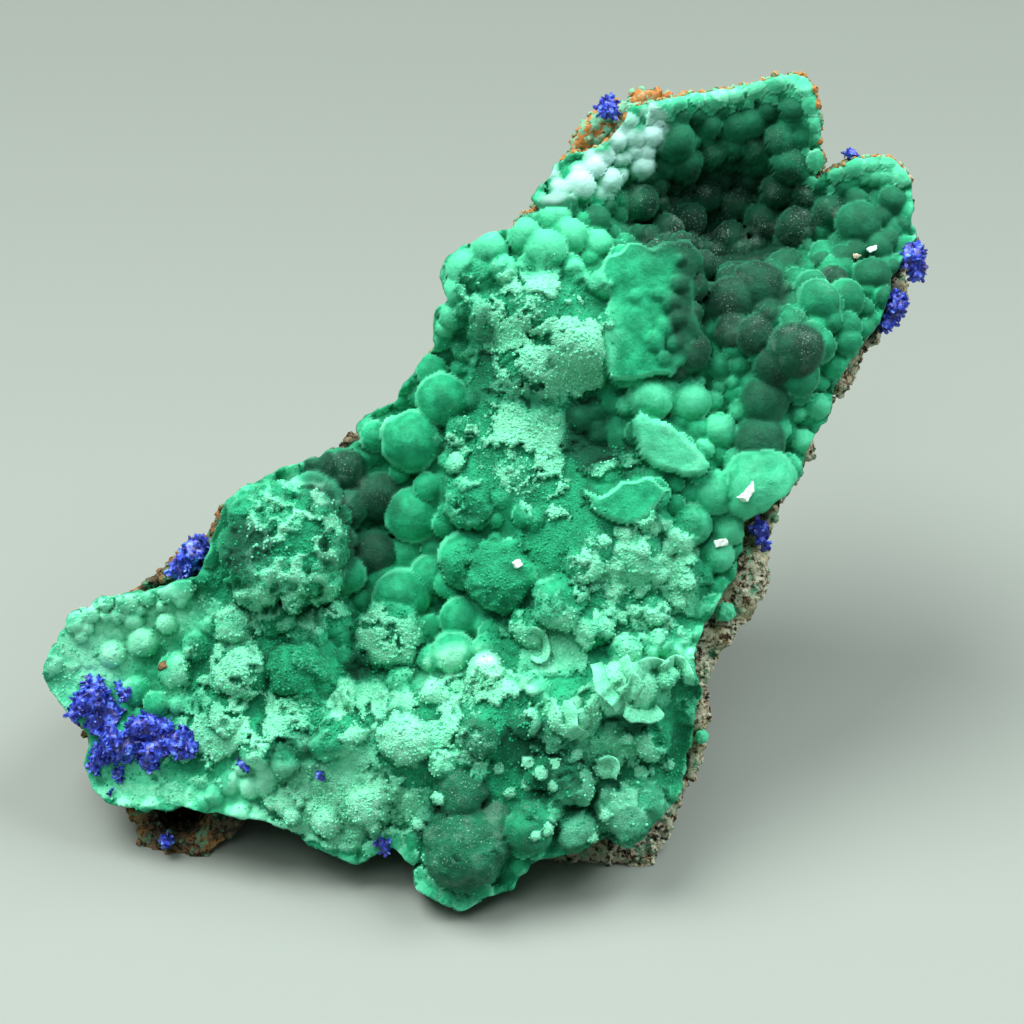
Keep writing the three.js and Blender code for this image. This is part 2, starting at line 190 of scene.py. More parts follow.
# %% [markdown]
# ## Reading the relief off the CAD crust
#
# The CAD crust already has the vug, the plates and the valley. A grid of rays
# shot straight at the face reads its level, a little blur takes its facets
# away, and the result is a relief map that numpy can work on quickly: the same
# idea as sculpting with a displacement map, at a quarter of a millimetre.

# %% Grid and CAD level
STEP = 0.25
across_line = np.arange(-59.0, 51.5, STEP)
up_line = np.arange(-49.0, 55.0, STEP)
A, B = np.meshgrid(across_line, up_line, indexing="ij")


def level_of(node, from_out, towards):
    """Where rays along the face's normal meet a CAD node; nan where they miss."""
    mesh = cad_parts[node].data
    tree = BVHTree.FromPolygons([v.co for v in mesh.vertices], [p.vertices for p in mesh.polygons])
    aim = Vector(OUT * towards)
    starts = stand(A, B, from_out).reshape(-1, 3)
    found = np.full(len(starts), np.nan)
    for k, start in enumerate(starts):
        hit = tree.ray_cast(Vector(start), aim)[0]
        if hit is not None:
            found[k] = from_out + towards * (hit - Vector(start)).length / MM
    return found.reshape(A.shape)


def filled(field, reach):
    """The field blurred, with its missing places filled from their neighbours."""
    known = np.isfinite(field)
    total = blurred(np.where(known, field, 0.0), reach)
    share = blurred(known.astype(float), reach)
    far = np.nanmean(field)
    return np.where(share > 1e-4, total / np.maximum(share, 1e-4), far)


IN_FRONT = 40
BEHIND = -80
cad_front = level_of("malachite_crust", IN_FRONT, -1)
base = np.where(np.isfinite(cad_front), filled(cad_front, 3), filled(cad_front, 12))
base = filled(base, 2.5)
wide = filled(cad_front, 9)
print("relief, mm:", round(float(np.nanmin(cad_front)), 1), "to", round(float(np.nanmax(cad_front)), 1))

# %% [markdown]
# ## Zones
#
# Malachite changes its habit from place to place: velvety and smooth in the
# hollows, rough and minty on the crests, almost black in the vug. The vug's
# darkness is partly its own bottle green and partly painted shade, and some dark
# rows are only painted shade. Soft ellipses say where. Each row is across, up,
# half width, half height and strength, and a warp makes their borders as
# irregular as the real ones.

# %% Soft zones
ROUGH = [
    (3, 21, 9, 7.5, 1), (6.5, 16, 5, 4, 1), (0, 16, 5, 3, .8), (-4, 24, 3, 5, .6), (0, 7.5, 8, 6, 1),
    (5.5, 2.5, 5.5, 4, 1), (12, 6, 3.5, 2, .9), (-5, 1.5, 3, 3, .8), (-3, -7, 5, 4.5, .6),
    (4, -4, 4.5, 3, .8), (14, -8, 9, 8, .8), (9, -3, 5, 4, .8), (18, -3, 4, 4, .6), (2, -14, 5, 5, .7),
    (9, -15, 5, 5, .6), (13, -21, 7, 5, .7), (7, -24, 4, 4, .8), (-27, -4, 7.5, 7.5, .9),
    (-28, -12, 9, 3, .8), (-36, -9, 3, 2, .6), (-30, -21, 10, 8, .9), (-37, -27, 5, 5, .8),
    (-15, -15, 5, 4.5, .9), (-13, -25, 9, 5, .9), (-18, -21, 4, 4, .7), (-21, -35, 9, 5, 1),
    (-12, -33, 6, 5, .8), (-4, -23, 7, 5, .9), (1, -30, 8, 6, .8), (12, -29, 8, 6, .8),
    (20, -25, 3, 9, .6), (10, -37, 8, 3, .7), (-6, -40, 6, 6, .5), (-53, -19, 4, 6, .3),
    (-45, -33, 8, 3, .3), (-47, -11, 8, 2, .4), (-44, -17, 9, 5, .2),
]
PALE = [
    (3, 21, 9, 8, .9), (6.5, 16, 4.5, 3.5, .8), (-2, 22, 6, 6, .75), (-6, 27, 4, 5, .35),
    (5, 32, 7, 3, .25), (0, 8, 8, 6, .8), (5, 2, 5, 4, .6), (12, 6, 3.5, 2, .5), (14, -8, 8, 7, 1),
    (18, -4, 4, 4, .8), (20, -13, 2, 5, .7), (27, -3, 3, 5, .5), (30, 4, 4, 4, .35), (36, 10, 3, 4, .35),
    (-25, -3, 6.5, 6.5, .7), (-29, -12, 9, 2.5, .8), (-31, -19, 9, 6, .7), (-38, -30, 7, 3, .7),
    (-15, -14.5, 4.5, 4, .7), (-12, -25, 8, 5, .95), (-21, -36, 9, 4, 1), (-12, -30, 4, 4, .6),
    (13, -20, 4, 3.5, 1), (8, -23, 2.5, 3.5, .9), (19, -20, 3, 3, .5), (21, -25, 1.5, 9, .6),
    (-52, -17, 5, 5, .5), (-47, -11, 9, 1.5, .8), (-49, -33, 3, 3, .3), (47, 41, 4, 2, .7),
    (49, 36, 1.5, 5, .4), (26, 51, 12, 1.2, .8), (37, 45, 1, 8, .6), (-24, -34, 12, 5, 1),
    (-10, -29, 7, 4, .95), (-5, -20, 8, 4, 1), (-32, -26, 8, 5, .85), (-17, -24, 5, 4, .85),
    (3, -25, 6, 4, .75), (13, -30, 6, 5, .75), (9, -36, 7, 3, .6), (-36, -20, 6, 5, .7),
    (-46, -16, 10, 5, .3), (-52, -22, 4, 6, .7), (-44, -32, 8, 3, .6), (9, -10, 8, 6, .45),
    (17, -16, 5, 4, .6), (4, -14, 6, 4, .5), (13, -32, 6, 5, .9), (6, -15, 4, 4, .8),
    (-48, -14, 8, 5, .75), (-4.5, -20, 4, 4, .9),
]
# Dark rows: the vug is partly bottle green and partly painted shade. The rows in the recess beside the
# plates, under the hump, under the roof and on the wing are painted shade.
DARK_AND_SHADE = [
    (26, 36, 13, 8, 1), (33, 44, 4, 4, .6), (28, 26, 5.5, 5, .95), (33, 19, 3.5, 3.5, .75),
    (31, 17, 3, 3, .7), (21, 24, 2.8, 8, .9), (20, 18, 3, 3, .6), (-3, 18, 1.5, 6, .5),
    (0, 14, 6, 1.5, .5), (9, 9, 3, 4, .8), (12, 9, 2.5, 3, .5), (30, 13, 3.5, 3, .6), (29, 8, 4, 3, .35),
    (-21, 4, 4, 3.5, .8), (-16, 2, 3, 3, .55), (-20, -3, 3, 4, .6), (-17, -6, 4, 4, .3),
    (-31, -4, 3.2, 3.2, .8), (-18, -18.5, 2, 2, .8), (-26, -29, 3, 3, .5), (-6, -36, 4, 5, .6),
    (-6, -42, 4, 3, .4), (6, -31, 4, 4, .6), (14, -35, 5, 4, .3), (1, -27, 3, 3, .6),
    (13, -25, 3, 1.5, .7), (25, 45, 9, 3, .75), (40, 36, 3, 5, .7), (33, 47, 3, 4, .5),
    (43, 34, 5, 6, .6),
]
GREEN = [
    (-24.8, -18.6, 4.4, 3.4, 1), (-2, -7.5, 5, 5, .6), (4, -10, 5, 3.6, .55), (9, -12.5, 3.5, 2.5, .5),
    (-31.5, -4, 3, 3, 1), (19, -27, 3, 5, .6), (-18, -18.5, 2.2, 2.2, 1), (-20, -24, 2, 2, .6),
    (-26.5, -28.5, 3, 2.4, .9), (-6, -38, 6, 7, .8), (-12, -5, 5, 9, .6), (4.5, 12, 4, 2, .4),
    (9, 9, 3, 3, .9), (-4, 22, 2.5, 4, .5), (0, 20, 2, 4, .4), (-16, -29, 2, 2, .7),
    (-37, -22, 3, 2, .5), (-1, -28.5, 2.5, 2, .8),
]
SOLID = [
    (-22, -34.8, 9, 3.6, 1), (-12.6, -26.8, 3.2, 3.2, .9), (-3, -19.3, 3.2, 2.4, .95),
    (-30, -31.5, 4, 2.2, .8), (-14, -35, 4, 3, .8), (-8, -21, 4, 2, .8), (-44, -33.8, 9, 1.3, .7),
    (-50, -15.5, 5, 3.5, .75), (-46, -11.5, 8, 1.4, .7), (-19.7, -22, 1.5, 2.2, .9),
    (-54, -21, 2, 4, .6), (17.5, -5, 3, 4, .6), (13, -20, 3, 2.5, .8), (-14, -15, 3.5, 3.5, .5),
    (1, 6, 3, 5, .5), (-27, -10.5, 7, 1.6, .6), (-32, -18, 2.5, 5, .6), (6, 17, 4, 4, .35),
    (-5, -27.5, 3, 2, .7), (-45, -13, 8, 3.5, .75), (-50, -17, 6, 5, .8), (-40, -11, 5, 3, .6),
    (-25, -32.5, 6, 3, .8), (12.5, -31.5, 3, 2.5, .6), (7, 20, 4, 3, .5), (-18, -31, 4, 3, .7),
    (6, -14.5, 3, 2.5, .6), (17, -9, 4, 4, .5),
]
FROST = [
    (24, 35, 10, 5, 1), (31, 36, 3, 3, .8), (16, 38, 3, 3, .8), (33, 19, 3.5, 3.5, .8),
    (28, 26, 5, 4, .5), (38, 28, 2, 2, .6), (-20, 5, 3, 3, .6), (-6, -36, 4, 3, .7), (14, -35, 4, 3, .7),
]
BLUE = [
    (7.5, 39.2, 4.2, 1.9, .9), (12.5, 41, 3, 2.6, .6), (15.8, 43.5, 1.9, 2.6, 1),
    (16.8, 46.6, 1.6, 1.8, .9), (5, 37.8, 1.8, 1.2, .5), (13.3, 43.2, 2.2, 3, 1),
    (10.8, 41.6, 2.6, 1.8, .95),
]
CALM = [(-47, -16, 9, 6, 1), (-44, -32.5, 9, 3, .9), (-52, -24, 4, 6, .9), (-40, -12, 5, 3, .8)]
WARP = 0.9
WARP_SCALE = 2.3


def zone(rows, x, y):
    """Strength from 0 to 1 of a set of soft ellipses, their borders warped."""
    wx = x + WARP * clouds(x, y, WARP_SCALE, 11)
    wy = y + WARP * clouds(x, y, WARP_SCALE, 12)
    field = np.zeros(x.shape)
    for across, up, half_width, half_height, strength in rows:
        away = np.hypot((wx - across) / half_width, (wy - up) / half_height)
        field = np.maximum(field, strength * (1 - smooth(0.7, 1.3, away)))
    return field


rough = zone(ROUGH, A, B)
blue_zone = zone(BLUE, A, B)
calm_zone = zone(CALM, A, B)
solid_zone = zone(SOLID, A, B)
pale_zone = zone(PALE, A, B) * (1 - 0.85 * zone(GREEN, A, B))
dark_and_shade_zone = zone(DARK_AND_SHADE, A, B) * (1 - solid_zone)
frost_zone = zone(FROST, A, B)

# %% [markdown]
# ## The balls
#
# A botryoidal ball is a cap of a sphere that grew until it met its neighbours.
# On the relief map that is a maximum: wherever a sphere stands higher than what
# is there, it takes over, and the creases come by themselves. The large balls
# stand where they stand on the real stone. Between them small ones fill every
# place, from a jittered grid.

# %% Ball groups: their tone, and across, up and radius of each ball
BALL_GROUPS = {
    "roof_pale": ({"blue": 1.0}, [
        (12.6, 44.6, 1.4), (9.4, 42.6, 1), (13.4, 46, 1), (12.6, 42.6, 1), (8, 39, 2), (9.8, 41.4, 1.5),
        (11.5, 40, 1.8), (11.3, 38.4, 1.2), (13, 40.8, 1.2), (13.5, 42.8, 1.1), (15.6, 42, 1.9),
        (16, 43.8, 1.5), (16.8, 45.5, 1.6), (14.1, 47, 1.2), (12.7, 47.3, 1.2), (17.4, 47.2, 1.2),
        (5.6, 38.4, 1.4),
    ]),
    # Painted shade: the roof's green balls are darkened under its overhang.
    "roof_green": ({"dark": 0.75}, [
        (20.3, 47.9, 1.4), (22.1, 48.1, 1.2), (19.8, 45, 2.6), (21, 42.6, 2.4), (18.6, 42, 1.4),
        (16.8, 41.2, 1.2), (17.8, 40, 1.5), (23.9, 47, 1.6), (27.4, 47, 2.1), (29.2, 47.5, 1.9),
        (33.9, 48.8, 1.8), (25.5, 49, 1.2), (31, 48.8, 1.3), (6.5, 36.5, 1.5), (10, 35, 1.9),
        (5, 36, 2.1), (11.5, 37, 1.1),
    ]),
    "roof_dark": ({"dark": 0.7, "frost": 0.5}, [
        (26.8, 45, 1.8), (32.7, 45.5, 2.1), (33.9, 42.6, 2.4), (15.6, 37.9, 2.4), (18, 37.9, 1.4),
        (24.5, 44, 1.7), (29.6, 44.5, 1.7),
    ]),
    # The vug's balls are partly bottle green and partly darkened as painted shade.
    "vug": ({"dark": 0.95, "frost": 0.9}, [
        (35, 35, 2.6), (31, 36, 2.4), (38.6, 36.7, 2.1), (27, 34, 2.2), (22, 36, 2.2), (24, 39, 2),
        (28, 38, 2), (19, 34.5, 2), (32.5, 39.5, 2.1), (36, 39, 1.6),
    ]),
    # Painted shade: the wing's balls are darkened where the wing lies in shadow.
    "wing": ({"dark": 0.76}, [
        (46.2, 37.9, 1.8), (45, 36, 1.4), (42, 35, 2.9), (45.6, 33, 1.4), (44.5, 32, 1.8),
        (37.4, 30.2, 1.4), (39.8, 30.8, 1.6), (43.3, 28.4, 2.4), (46, 29.6, 1.2), (42, 38, 1.5),
        (47.5, 35, 1.1), (44.8, 25.8, 1.4), (41.5, 31.5, 1.5),
    ]),
    "grape_dark": ({"dark": 0.98, "frost": 0.4}, [
        (29.2, 26.7, 3.4), (26.2, 25, 3.1), (33.3, 19.1, 3.4), (31, 17.3, 2.5), (38.6, 27.9, 1.7),
        (28.6, 20.8, 2.4), (26.2, 21.4, 2.4), (21, 19, 2.6), (20.6, 23.2, 1.9), (21.4, 26.7, 1.9),
        (23, 29.8, 1.8), (19.6, 20.8, 1.3), (19.4, 16.8, 1.4),
    ]),
    "grape_lit": ({"dark": 0.45}, [
        (32.7, 29.4, 2.4), (33.9, 27.9, 1.5), (36.2, 25, 2.7), (35.6, 26.7, 2.2), (39.8, 25.5, 2.4),
        (30.4, 23.2, 1.5), (32.7, 23.2, 1.3), (36.2, 19.6, 2.2), (33.9, 16.1, 2.6), (33.9, 14.4, 1.8),
        (39.8, 22, 1.8), (42.1, 24.4, 1.3), (39.8, 20.2, 1.8), (24.5, 17.3, 1.7), (26.2, 19.1, 1.3),
        (26.8, 17.3, 1.3), (42, 21.8, 1.2), (37.5, 22.6, 1.6),
    ]),
    "hump": ({"pale": 0.7}, [
        (10.1, 31.6, 2.1), (6.8, 32.6, 2.4), (3.9, 30.8, 2.6), (5.1, 34.7, 2.1), (1.5, 32.6, 2.2),
        (-2.6, 31, 2.2), (-5.5, 28.7, 2.4), (-3.8, 27.9, 2.1), (11, 26.7, 2), (7.4, 28.5, 1.3),
        (11, 22, 1.5), (-6.5, 26, 1.8), (-7, 23.4, 1.6), (-1, 28.5, 1.8), (-7.9, 22, 1.2),
    ]),
    "bank": ({"pale": 0.62}, [
        (21, 13, 2.7), (16.2, 13.2, 2.8), (24.5, 9.6, 2.2), (23.9, 13.2, 1.3), (20.4, 15.8, 1),
        (22.1, 15.5, 1), (24.5, 15, 1), (26.2, 15.5, 1), (33.9, 11.8, 1.2), (36.2, 12.6, 1.7),
        (32.7, 5.3, 1.8), (26.8, 0.8, 1.9), (18.3, 14.6, 1.5), (27.2, 12, 1.6), (22.6, 7.4, 1.3),
        (26.5, 6, 1.7), (34.6, 8.4, 1.6), (31.5, 9.8, 1.6), (13.5, 12.5, 1.3),
    ]),
    "bank_pale": ({"pale": 0.5}, [
        (29.2, 3.2, 4.7), (23.9, 2.4, 2.7), (21, -1.5, 2.6), (25.6, -1.9, 2.2), (24.2, -5, 2.2),
        (32.5, 2.5, 1.6),
    ]),
    "bank_dark": ({"dark": 0.85, "frost": 0.1}, [(29.8, 13.2, 3.1), (29.2, 8.2, 3.2)]),
    "valley": ({}, [
        (-12, 8.5, 3.9), (-16.5, 9, 2), (-9.6, 17, 2), (-8.2, 13.4, 3.3), (-10, 3, 1.9), (-7.4, -8.6, 2),
        (-11.8, -0.4, 3.6), (-12.6, -5, 2.5), (-9.6, -4.5, 1.5), (-9.6, -7.4, 2.6), (-5.5, -5.6, 3.4),
        (-13.2, -10.4, 3.6), (-6, -12.7, 2.7), (-6.7, -16.8, 2.8), (-6, 9.6, 1.9), (-15.5, -8, 2.3),
        (-19.6, -7.4, 2.3), (-9.5, -17.5, 1.8), (-3, -16, 1.7), (-10, -14, 2), (-13.5, 4.8, 1.4),
        (-6.5, 5.5, 1.6), (-8, -1.5, 1.6),
    ]),
    "valley_dark": ({"dark": 0.95, "frost": 0.3}, [
        (-20.2, 5, 2.6), (-23, 5.5, 2.2), (-16, 2, 3), (-16.7, -5, 3), (-19.5, 0.5, 2.2),
        (-20.5, -3.5, 2), (-18.5, 3.5, 1.8),
    ]),
    "mound": ({"pale": 0.2}, [
        (-26.7, -3.9, 7.4), (-24, 1, 3.8), (-30.5, 0.5, 3), (-24, -8, 3.4), (-30, -8.5, 3),
        (-20.7, -0.5, 1.6),
    ]),
    "mound_dark": ({"dark": 0.9}, [(-31.4, -3.9, 3.1)]),
    "pocket": ({"pale": 0.15}, [
        (-44.4, -15.6, 1.9), (-41.4, -13.3, 1.3), (-45.5, -12.7, 1.3), (-45, -21.5, 1.9),
        (-40, -19, 2.4), (-48, -17, 1.6), (-42.5, -23, 1.7), (-37.5, -16, 1.9), (-50, -22, 1.5),
    ]),
    "lower": ({"pale": 0.5}, [
        (-12.6, -26.8, 3), (-3, -19, 2.5), (-14.4, -14.8, 4.6), (-5, 1.4, 3.2), (18, -19.2, 1.5),
        (21, -19.2, 1.3), (6.5, -24, 2.4), (16.8, -11.5, 1.7), (17.4, -15.3, 1.5), (13, -16, 2),
        (-17, -34, 2.6), (-32, -19, 3), (-20, -26, 2.6), (11, -29.8, 1.4), (16.5, -27, 2.2),
        (3.3, -30.4, 2.1), (19.5, -3, 2), (20.5, -6.5, 1.8), (-30, -28, 2.2), (-26.5, -34.5, 2),
        (-22, -36.5, 1.9), (-9, -21.5, 2), (-8, -29.5, 1.7), (1.5, -24.5, 2), (-33.5, -24, 2.4),
        (-21.5, -13, 2.2), (-33, -13.5, 2.3), (-28, -12.5, 2.2),
    ]),
    "lower_green": ({"pale": 0.12}, [
        (-25.2, -18.6, 3.5), (-0.9, -7.4, 4.3), (5.4, -10.7, 3.4), (9.6, -13.5, 2.6), (2.2, -13.4, 2.4),
        (8.2, -6, 2.2),
    ]),
    "toe": ({"dark": 0.66, "frost": 1.0, "pale": 0.2}, [
        (-6, -32.7, 3), (-5.2, -39.2, 5.1), (-9.5, -36.5, 2), (-2, -36, 2.2),
    ]),
    "lower_dark": ({"dark": 0.4, "frost": 0.6}, [
        (6.8, -31.5, 3), (13.9, -35, 4.1), (-26.7, -29.2, 1.9), (-25, -27.4, 1.5), (2, -36.8, 3),
        (7.4, -37.4, 2.8), (-4, -26, 2.4),
    ]),
}
TONES = ("pale", "dark", "frost", "blue")
BALL_LIFT = 0.1
FILL_PITCH = 2.3
SMALL_RADIUS = (0.9, 1.9)

height = base - 0.5
tones = {name: np.zeros(A.shape) for name in TONES}
edge = np.zeros(A.shape)


def grid_place(across, up):
    """The grid point nearest to a place on the face."""
    return int(round((across - across_line[0]) / STEP)), int(round((up - up_line[0]) / STEP))


def stamp(across, up, radius, seat, tone):
    """Lets one ball take over the relief where it stands highest."""
    reach = int(radius / STEP) + 2
    i, j = grid_place(across, up)
    if not (0 <= i < len(across_line) and 0 <= j < len(up_line)):
        return
    window = np.s_[max(0, i - reach):i + reach, max(0, j - reach):j + reach]
    away = np.hypot(A[window] - across, B[window] - up) / (radius * WOBBLE[window])
    cap = seat + radius * np.sqrt(np.clip(1 - away ** 2, 0, 1)) * (1 - 0.3 * rough[window])
    wins = (away < 1) & (cap > height[window])
    height[window][wins] = cap[wins]
    edge[window][wins] = away[wins]
    for name in TONES:
        tones[name][window][wins] = tone.get(name, 0.0)


WOBBLE = 1 + (0.07 + 0.12 * rough) * clouds(A, B, 1.7, 21) + 0.1 * rough * clouds(A, B, 0.8, 22)
rng = np.random.default_rng(7)
small = 0
for across in np.arange(across_line[0], across_line[-1], FILL_PITCH):
    for up in np.arange(up_line[0], up_line[-1], FILL_PITCH):
        a, b = across + rng.uniform(-1, 1), up + rng.uniform(-1, 1)
        i = min(len(across_line) - 1, max(0, int((a - across_line[0]) / STEP)))
        j = min(len(up_line) - 1, max(0, int((b - up_line[0]) / STEP)))
        radius = rng.uniform(*SMALL_RADIUS)
        if max(rough[i, j], calm_zone[i, j]) > rng.uniform(0.25, 0.7):
            continue
        tone = {"dark": float(dark_and_shade_zone[i, j]) * rng.uniform(0.7, 1), "frost": float(frost_zone[i, j])}
        stamp(a, b, radius, base[i, j] - 0.45 * radius, tone)
        small += 1
for tone, balls in BALL_GROUPS.values():
    for across, up, radius in balls:
        i, j = grid_place(across, up)
        lift = BALL_LIFT - 0.28 * float(rough[i, j]) - 0.4 * float(calm_zone[i, j])
        stamp(across, up, radius, wide[i, j] + lift * radius, tone)
print("balls:", sum(len(balls) for tone, balls in BALL_GROUPS.values()), "placed,", small, "small")

# %% [markdown]
# ## Plates
#
# Three thin plates stand free in front of the balls, with a pale edge of painted sheen.
# Each is an outline, a level and a tilt. It replaces the relief inside its
# outline, and a lower rim rounds its edge.

# %% Plates
# `out` is a plate's level, `tilt` its slope along across and up.
PLATES = [
    {
        "out": 2.2, "tilt": (-0.16, -0.02), "pale": 0.0, "bulge": 0.9,
        "outline": [
            (10.2, 28), (10.8, 30), (12.6, 30.6), (13.6, 31.6), (15, 31.6), (16.6, 31.2), (18.2, 32),
            (21, 32.2), (22.6, 30.6), (22.6, 28.8), (21.4, 27.2), (21.6, 24), (22.2, 21), (21, 18),
            (18.6, 16), (15.2, 15.6), (12.6, 15.2), (11.4, 15.8), (10.6, 19), (10.2, 21.6), (11.2, 25),
        ],
    },
    {
        "out": 4.1, "tilt": (-0.1, 0.1), "pale": 0.8,
        "outline": [
            (14, 10.8), (15, 11.8), (16.8, 11), (18.6, 10.4), (20.4, 9), (21.8, 7.8), (23.4, 5.6),
            (23, 4.4), (20.6, 4), (18, 4.4), (16.4, 5), (15, 6.2), (14.2, 8.4),
        ],
    },
    {
        "out": 4.8, "tilt": (-0.1, -0.05), "pale": 0.1,
        "outline": [
            (8.4, 2.6), (10.2, 1.8), (12.6, 3.6), (16, 4.2), (18.6, 2.6), (17, 0.8), (16, -0.6),
            (13.4, -1.6), (11, -1), (9, 0.4),
        ],
    },
]


def inside(polygon, x, y):
    """Which places lie inside the polygon, by counting the edges to their right."""
    odd = np.zeros(x.shape, bool)
    corners = np.asarray(polygon, float)
    for (x0, y0), (x1, y1) in zip(corners, np.roll(corners, -1, axis=0)):
        if y0 == y1:
            continue
        crosses = (y0 > y) != (y1 > y)
        odd ^= crosses & (x < x0 + (y - y0) * (x1 - x0) / (y1 - y0))
    return odd


def near_edge(polygon, x, y, window):
    """How far each place is from the polygon's line, up to `window`."""
    nearest = np.full(x.shape, float(window))
    corners = np.asarray(polygon, float)
    for start, end in zip(corners, np.roll(corners, -1, axis=0)):
        near = (np.abs(x - start[0]) < window + 2) & (np.abs(y - start[1]) < window + 2)
        if not near.any():
            continue
        run = end - start
        share = ((x[near] - start[0]) * run[0] + (y[near] - start[1]) * run[1]) / max(run @ run, 1e-9)
        share = np.clip(share, 0, 1)
        away = np.hypot(x[near] - start[0] - share * run[0], y[near] - start[1] - share * run[1])
        nearest[near] = np.minimum(nearest[near], away)
    return nearest


plate_rim = np.zeros(A.shape)
on_plate = np.zeros(A.shape, bool)
for plate in PLATES:
    rim = scalloped(plate["outline"], -0.35, 1.6, 5)
    mask = inside(rim, A, B)
    middle = np.mean(plate["outline"], axis=0)
    tilt_across, tilt_up = plate["tilt"]
    flat = plate["out"] + tilt_across * (A - middle[0]) + tilt_up * (B - middle[1])
    flat = flat + 0.25 * clouds(A, B, 3.1, 31) + 0.06 * clouds(A, B, 1.1, 32)
    bulges = domes(A, B, 3.6, 33) * smooth(18.2, 20.2, A) - 0.6 * smooth(18, 20, A)
    flat = flat + plate.get("bulge", 0.0) * bulges
    from_rim = near_edge(rim, A, B, 1.5)
    flat = flat - 0.5 * (1 - smooth(0, 0.5, from_rim))
    wins = mask & (flat > height - 0.4)
    height = np.where(wins, flat, height)
    plate_rim = np.where(wins, 1 - smooth(0.1, 0.7, from_rim), plate_rim)
    on_plate |= wins
    for name in TONES:
        tones[name] = np.where(wins, plate.get(name, 0.0), tones[name])
rough = np.where(on_plate, 0.12 * rough, rough)
edge = np.where(on_plate, 0.0, edge)

# %% [markdown]
# ## Druse
#
# The rough crust is druse: tiny crystals in cauliflower lumps. Broad clouds,
# ragged flakes and two sizes of domes on top of each other give it, pits
# included. The mound has thin pale walls around green cells, like honeycomb,
# and little rosettes stand on the lower face.

# %% Druse
# Amounts are in millimetres. Each pattern is given its scale, and its seed last.
def fractal(x, y, scale, octaves, seed):
    """Clouds on top of finer clouds, from about -1 to 1."""
    total = np.zeros(x.shape)
    for octave in range(octaves):
        total += 0.58 ** octave * clouds(x, y, scale / 2.03 ** octave, seed + octave)
    return total / 1.4


warp_a = A + 0.45 * clouds(A, B, 1.1, 41)
warp_b = B + 0.45 * clouds(A, B, 1.1, 42)
flake = fractal(warp_a, warp_b, 3.4, 5, 43)
cover = smooth(-0.07, 0.09, flake - 0.16 + 0.42 * pale_zone)
popcorn = 0.34 * domes(warp_a, warp_b, 1.25, 50) + 0.2 * domes(A, B, 0.62, 51)
broad_lumps = 0.55 * fractal(A, B, 5.5, 3, 52)
pits = smooth(0.5, 0.85, fractal(warp_a, warp_b, 2.1, 4, 53)) * (1 - 0.6 * solid_zone)
druse = broad_lumps + 0.62 * cover + popcorn * (0.55 + 0.45 * cover) - 0.65 * pits - 0.35
HONEYCOMB = [(-24.5, -2.5, 6.5, 7.5, 1), (-29, -12.5, 8, 2, .6), (15, -7, 6, 5, .5), (-47, -11, 7, 1.6, .4)]
comb = zone(HONEYCOMB, A, B)
walls = 1 - smooth(0.76, 0.95, domes(warp_a, warp_b, 1.9, 55))
druse = druse * (1 - 0.5 * comb) + comb * 0.55 * walls
velvet = 0.04 * domes(A, B, 0.6, 48) + 0.06 * fractal(A, B, 1.6, 3, 49)
height = height + rough * druse + (1 - rough) * velvet
ROSETTES = [
    (-0.2, -32.7, .8), (-8.5, -33.3, .8), (3.9, -36.8, .9), (10.9, -35.3, .8), (2.7, -37.4, .7),
    (15.1, -30.9, .9), (10.9, -29.8, 1.3), (3.3, -30.4, .9), (1.9, -29.2, .9), (4.9, -29.4, .9),
    (4.8, -31.8, .8), (1.8, -31.7, .8), (-19.6, -21.6, 1), (-19.6, -23, 1.1), (13.3, -26.5, .8),
    (7.5, -28.2, .7), (-11, -36.5, .8), (18.5, -30, .8), (9.3, -38, .8), (-1.5, -30, .7),
    (16.5, -1.8, 1), (18.3, -4.2, 1), (15.3, -4.4, .9), (20.6, -8.2, 1), (13.2, -2.6, .8),
    (12.2, -6.3, .9), (17.2, -7.4, 1), (19.6, -10.6, .9), (15, -9.4, .8), (18.2, -12.8, .8),
    (21.4, -4.8, .8), (10.8, -3.4, .8), (14.4, -11.6, .8), (-26, -36, .9), (-23.5, -35.2, 1),
    (-21, -38.5, 1), (-18.6, -38, .9), (-16.4, -36.8, .9), (-28.5, -34.4, .9), (-24.6, -33.2, .8),
]
rosette = np.zeros(A.shape)


def rosette_at(across, up, radius):
    """A small ball with a dimple, or a blade's end, set on the finished druse."""
    away = np.hypot(A - across, B - up) / (radius * (1 + 0.16 * clouds(A, B, 0.7, 56)))
    seat = height[np.abs(A[:, 0] - across).argmin(), np.abs(B[0] - up).argmin()]
    cap = seat - 0.1 + radius * np.sqrt(np.clip(1 - away ** 2, 0, 1)) * 0.75
    cap = cap - 0.25 * radius * (1 - smooth(0, 0.5, away))
    return (away < 1) & (cap > height), cap


for row in ROSETTES:
    wins, cap = rosette_at(*row)
    height = np.where(wins, cap, height)
    rosette = np.where(wins, 1.0, rosette)
print("druse over", round(float((rough > 0.5).mean() * 100)), "percent of the grid")

# %% [markdown]
# ## Scalloped rim
#
# Along the roof, the wing, the ledge and the toe the crust ends in rows of
# small half balls. They are set along the outline, each row a little further
# in, and their outer edges stay pale.

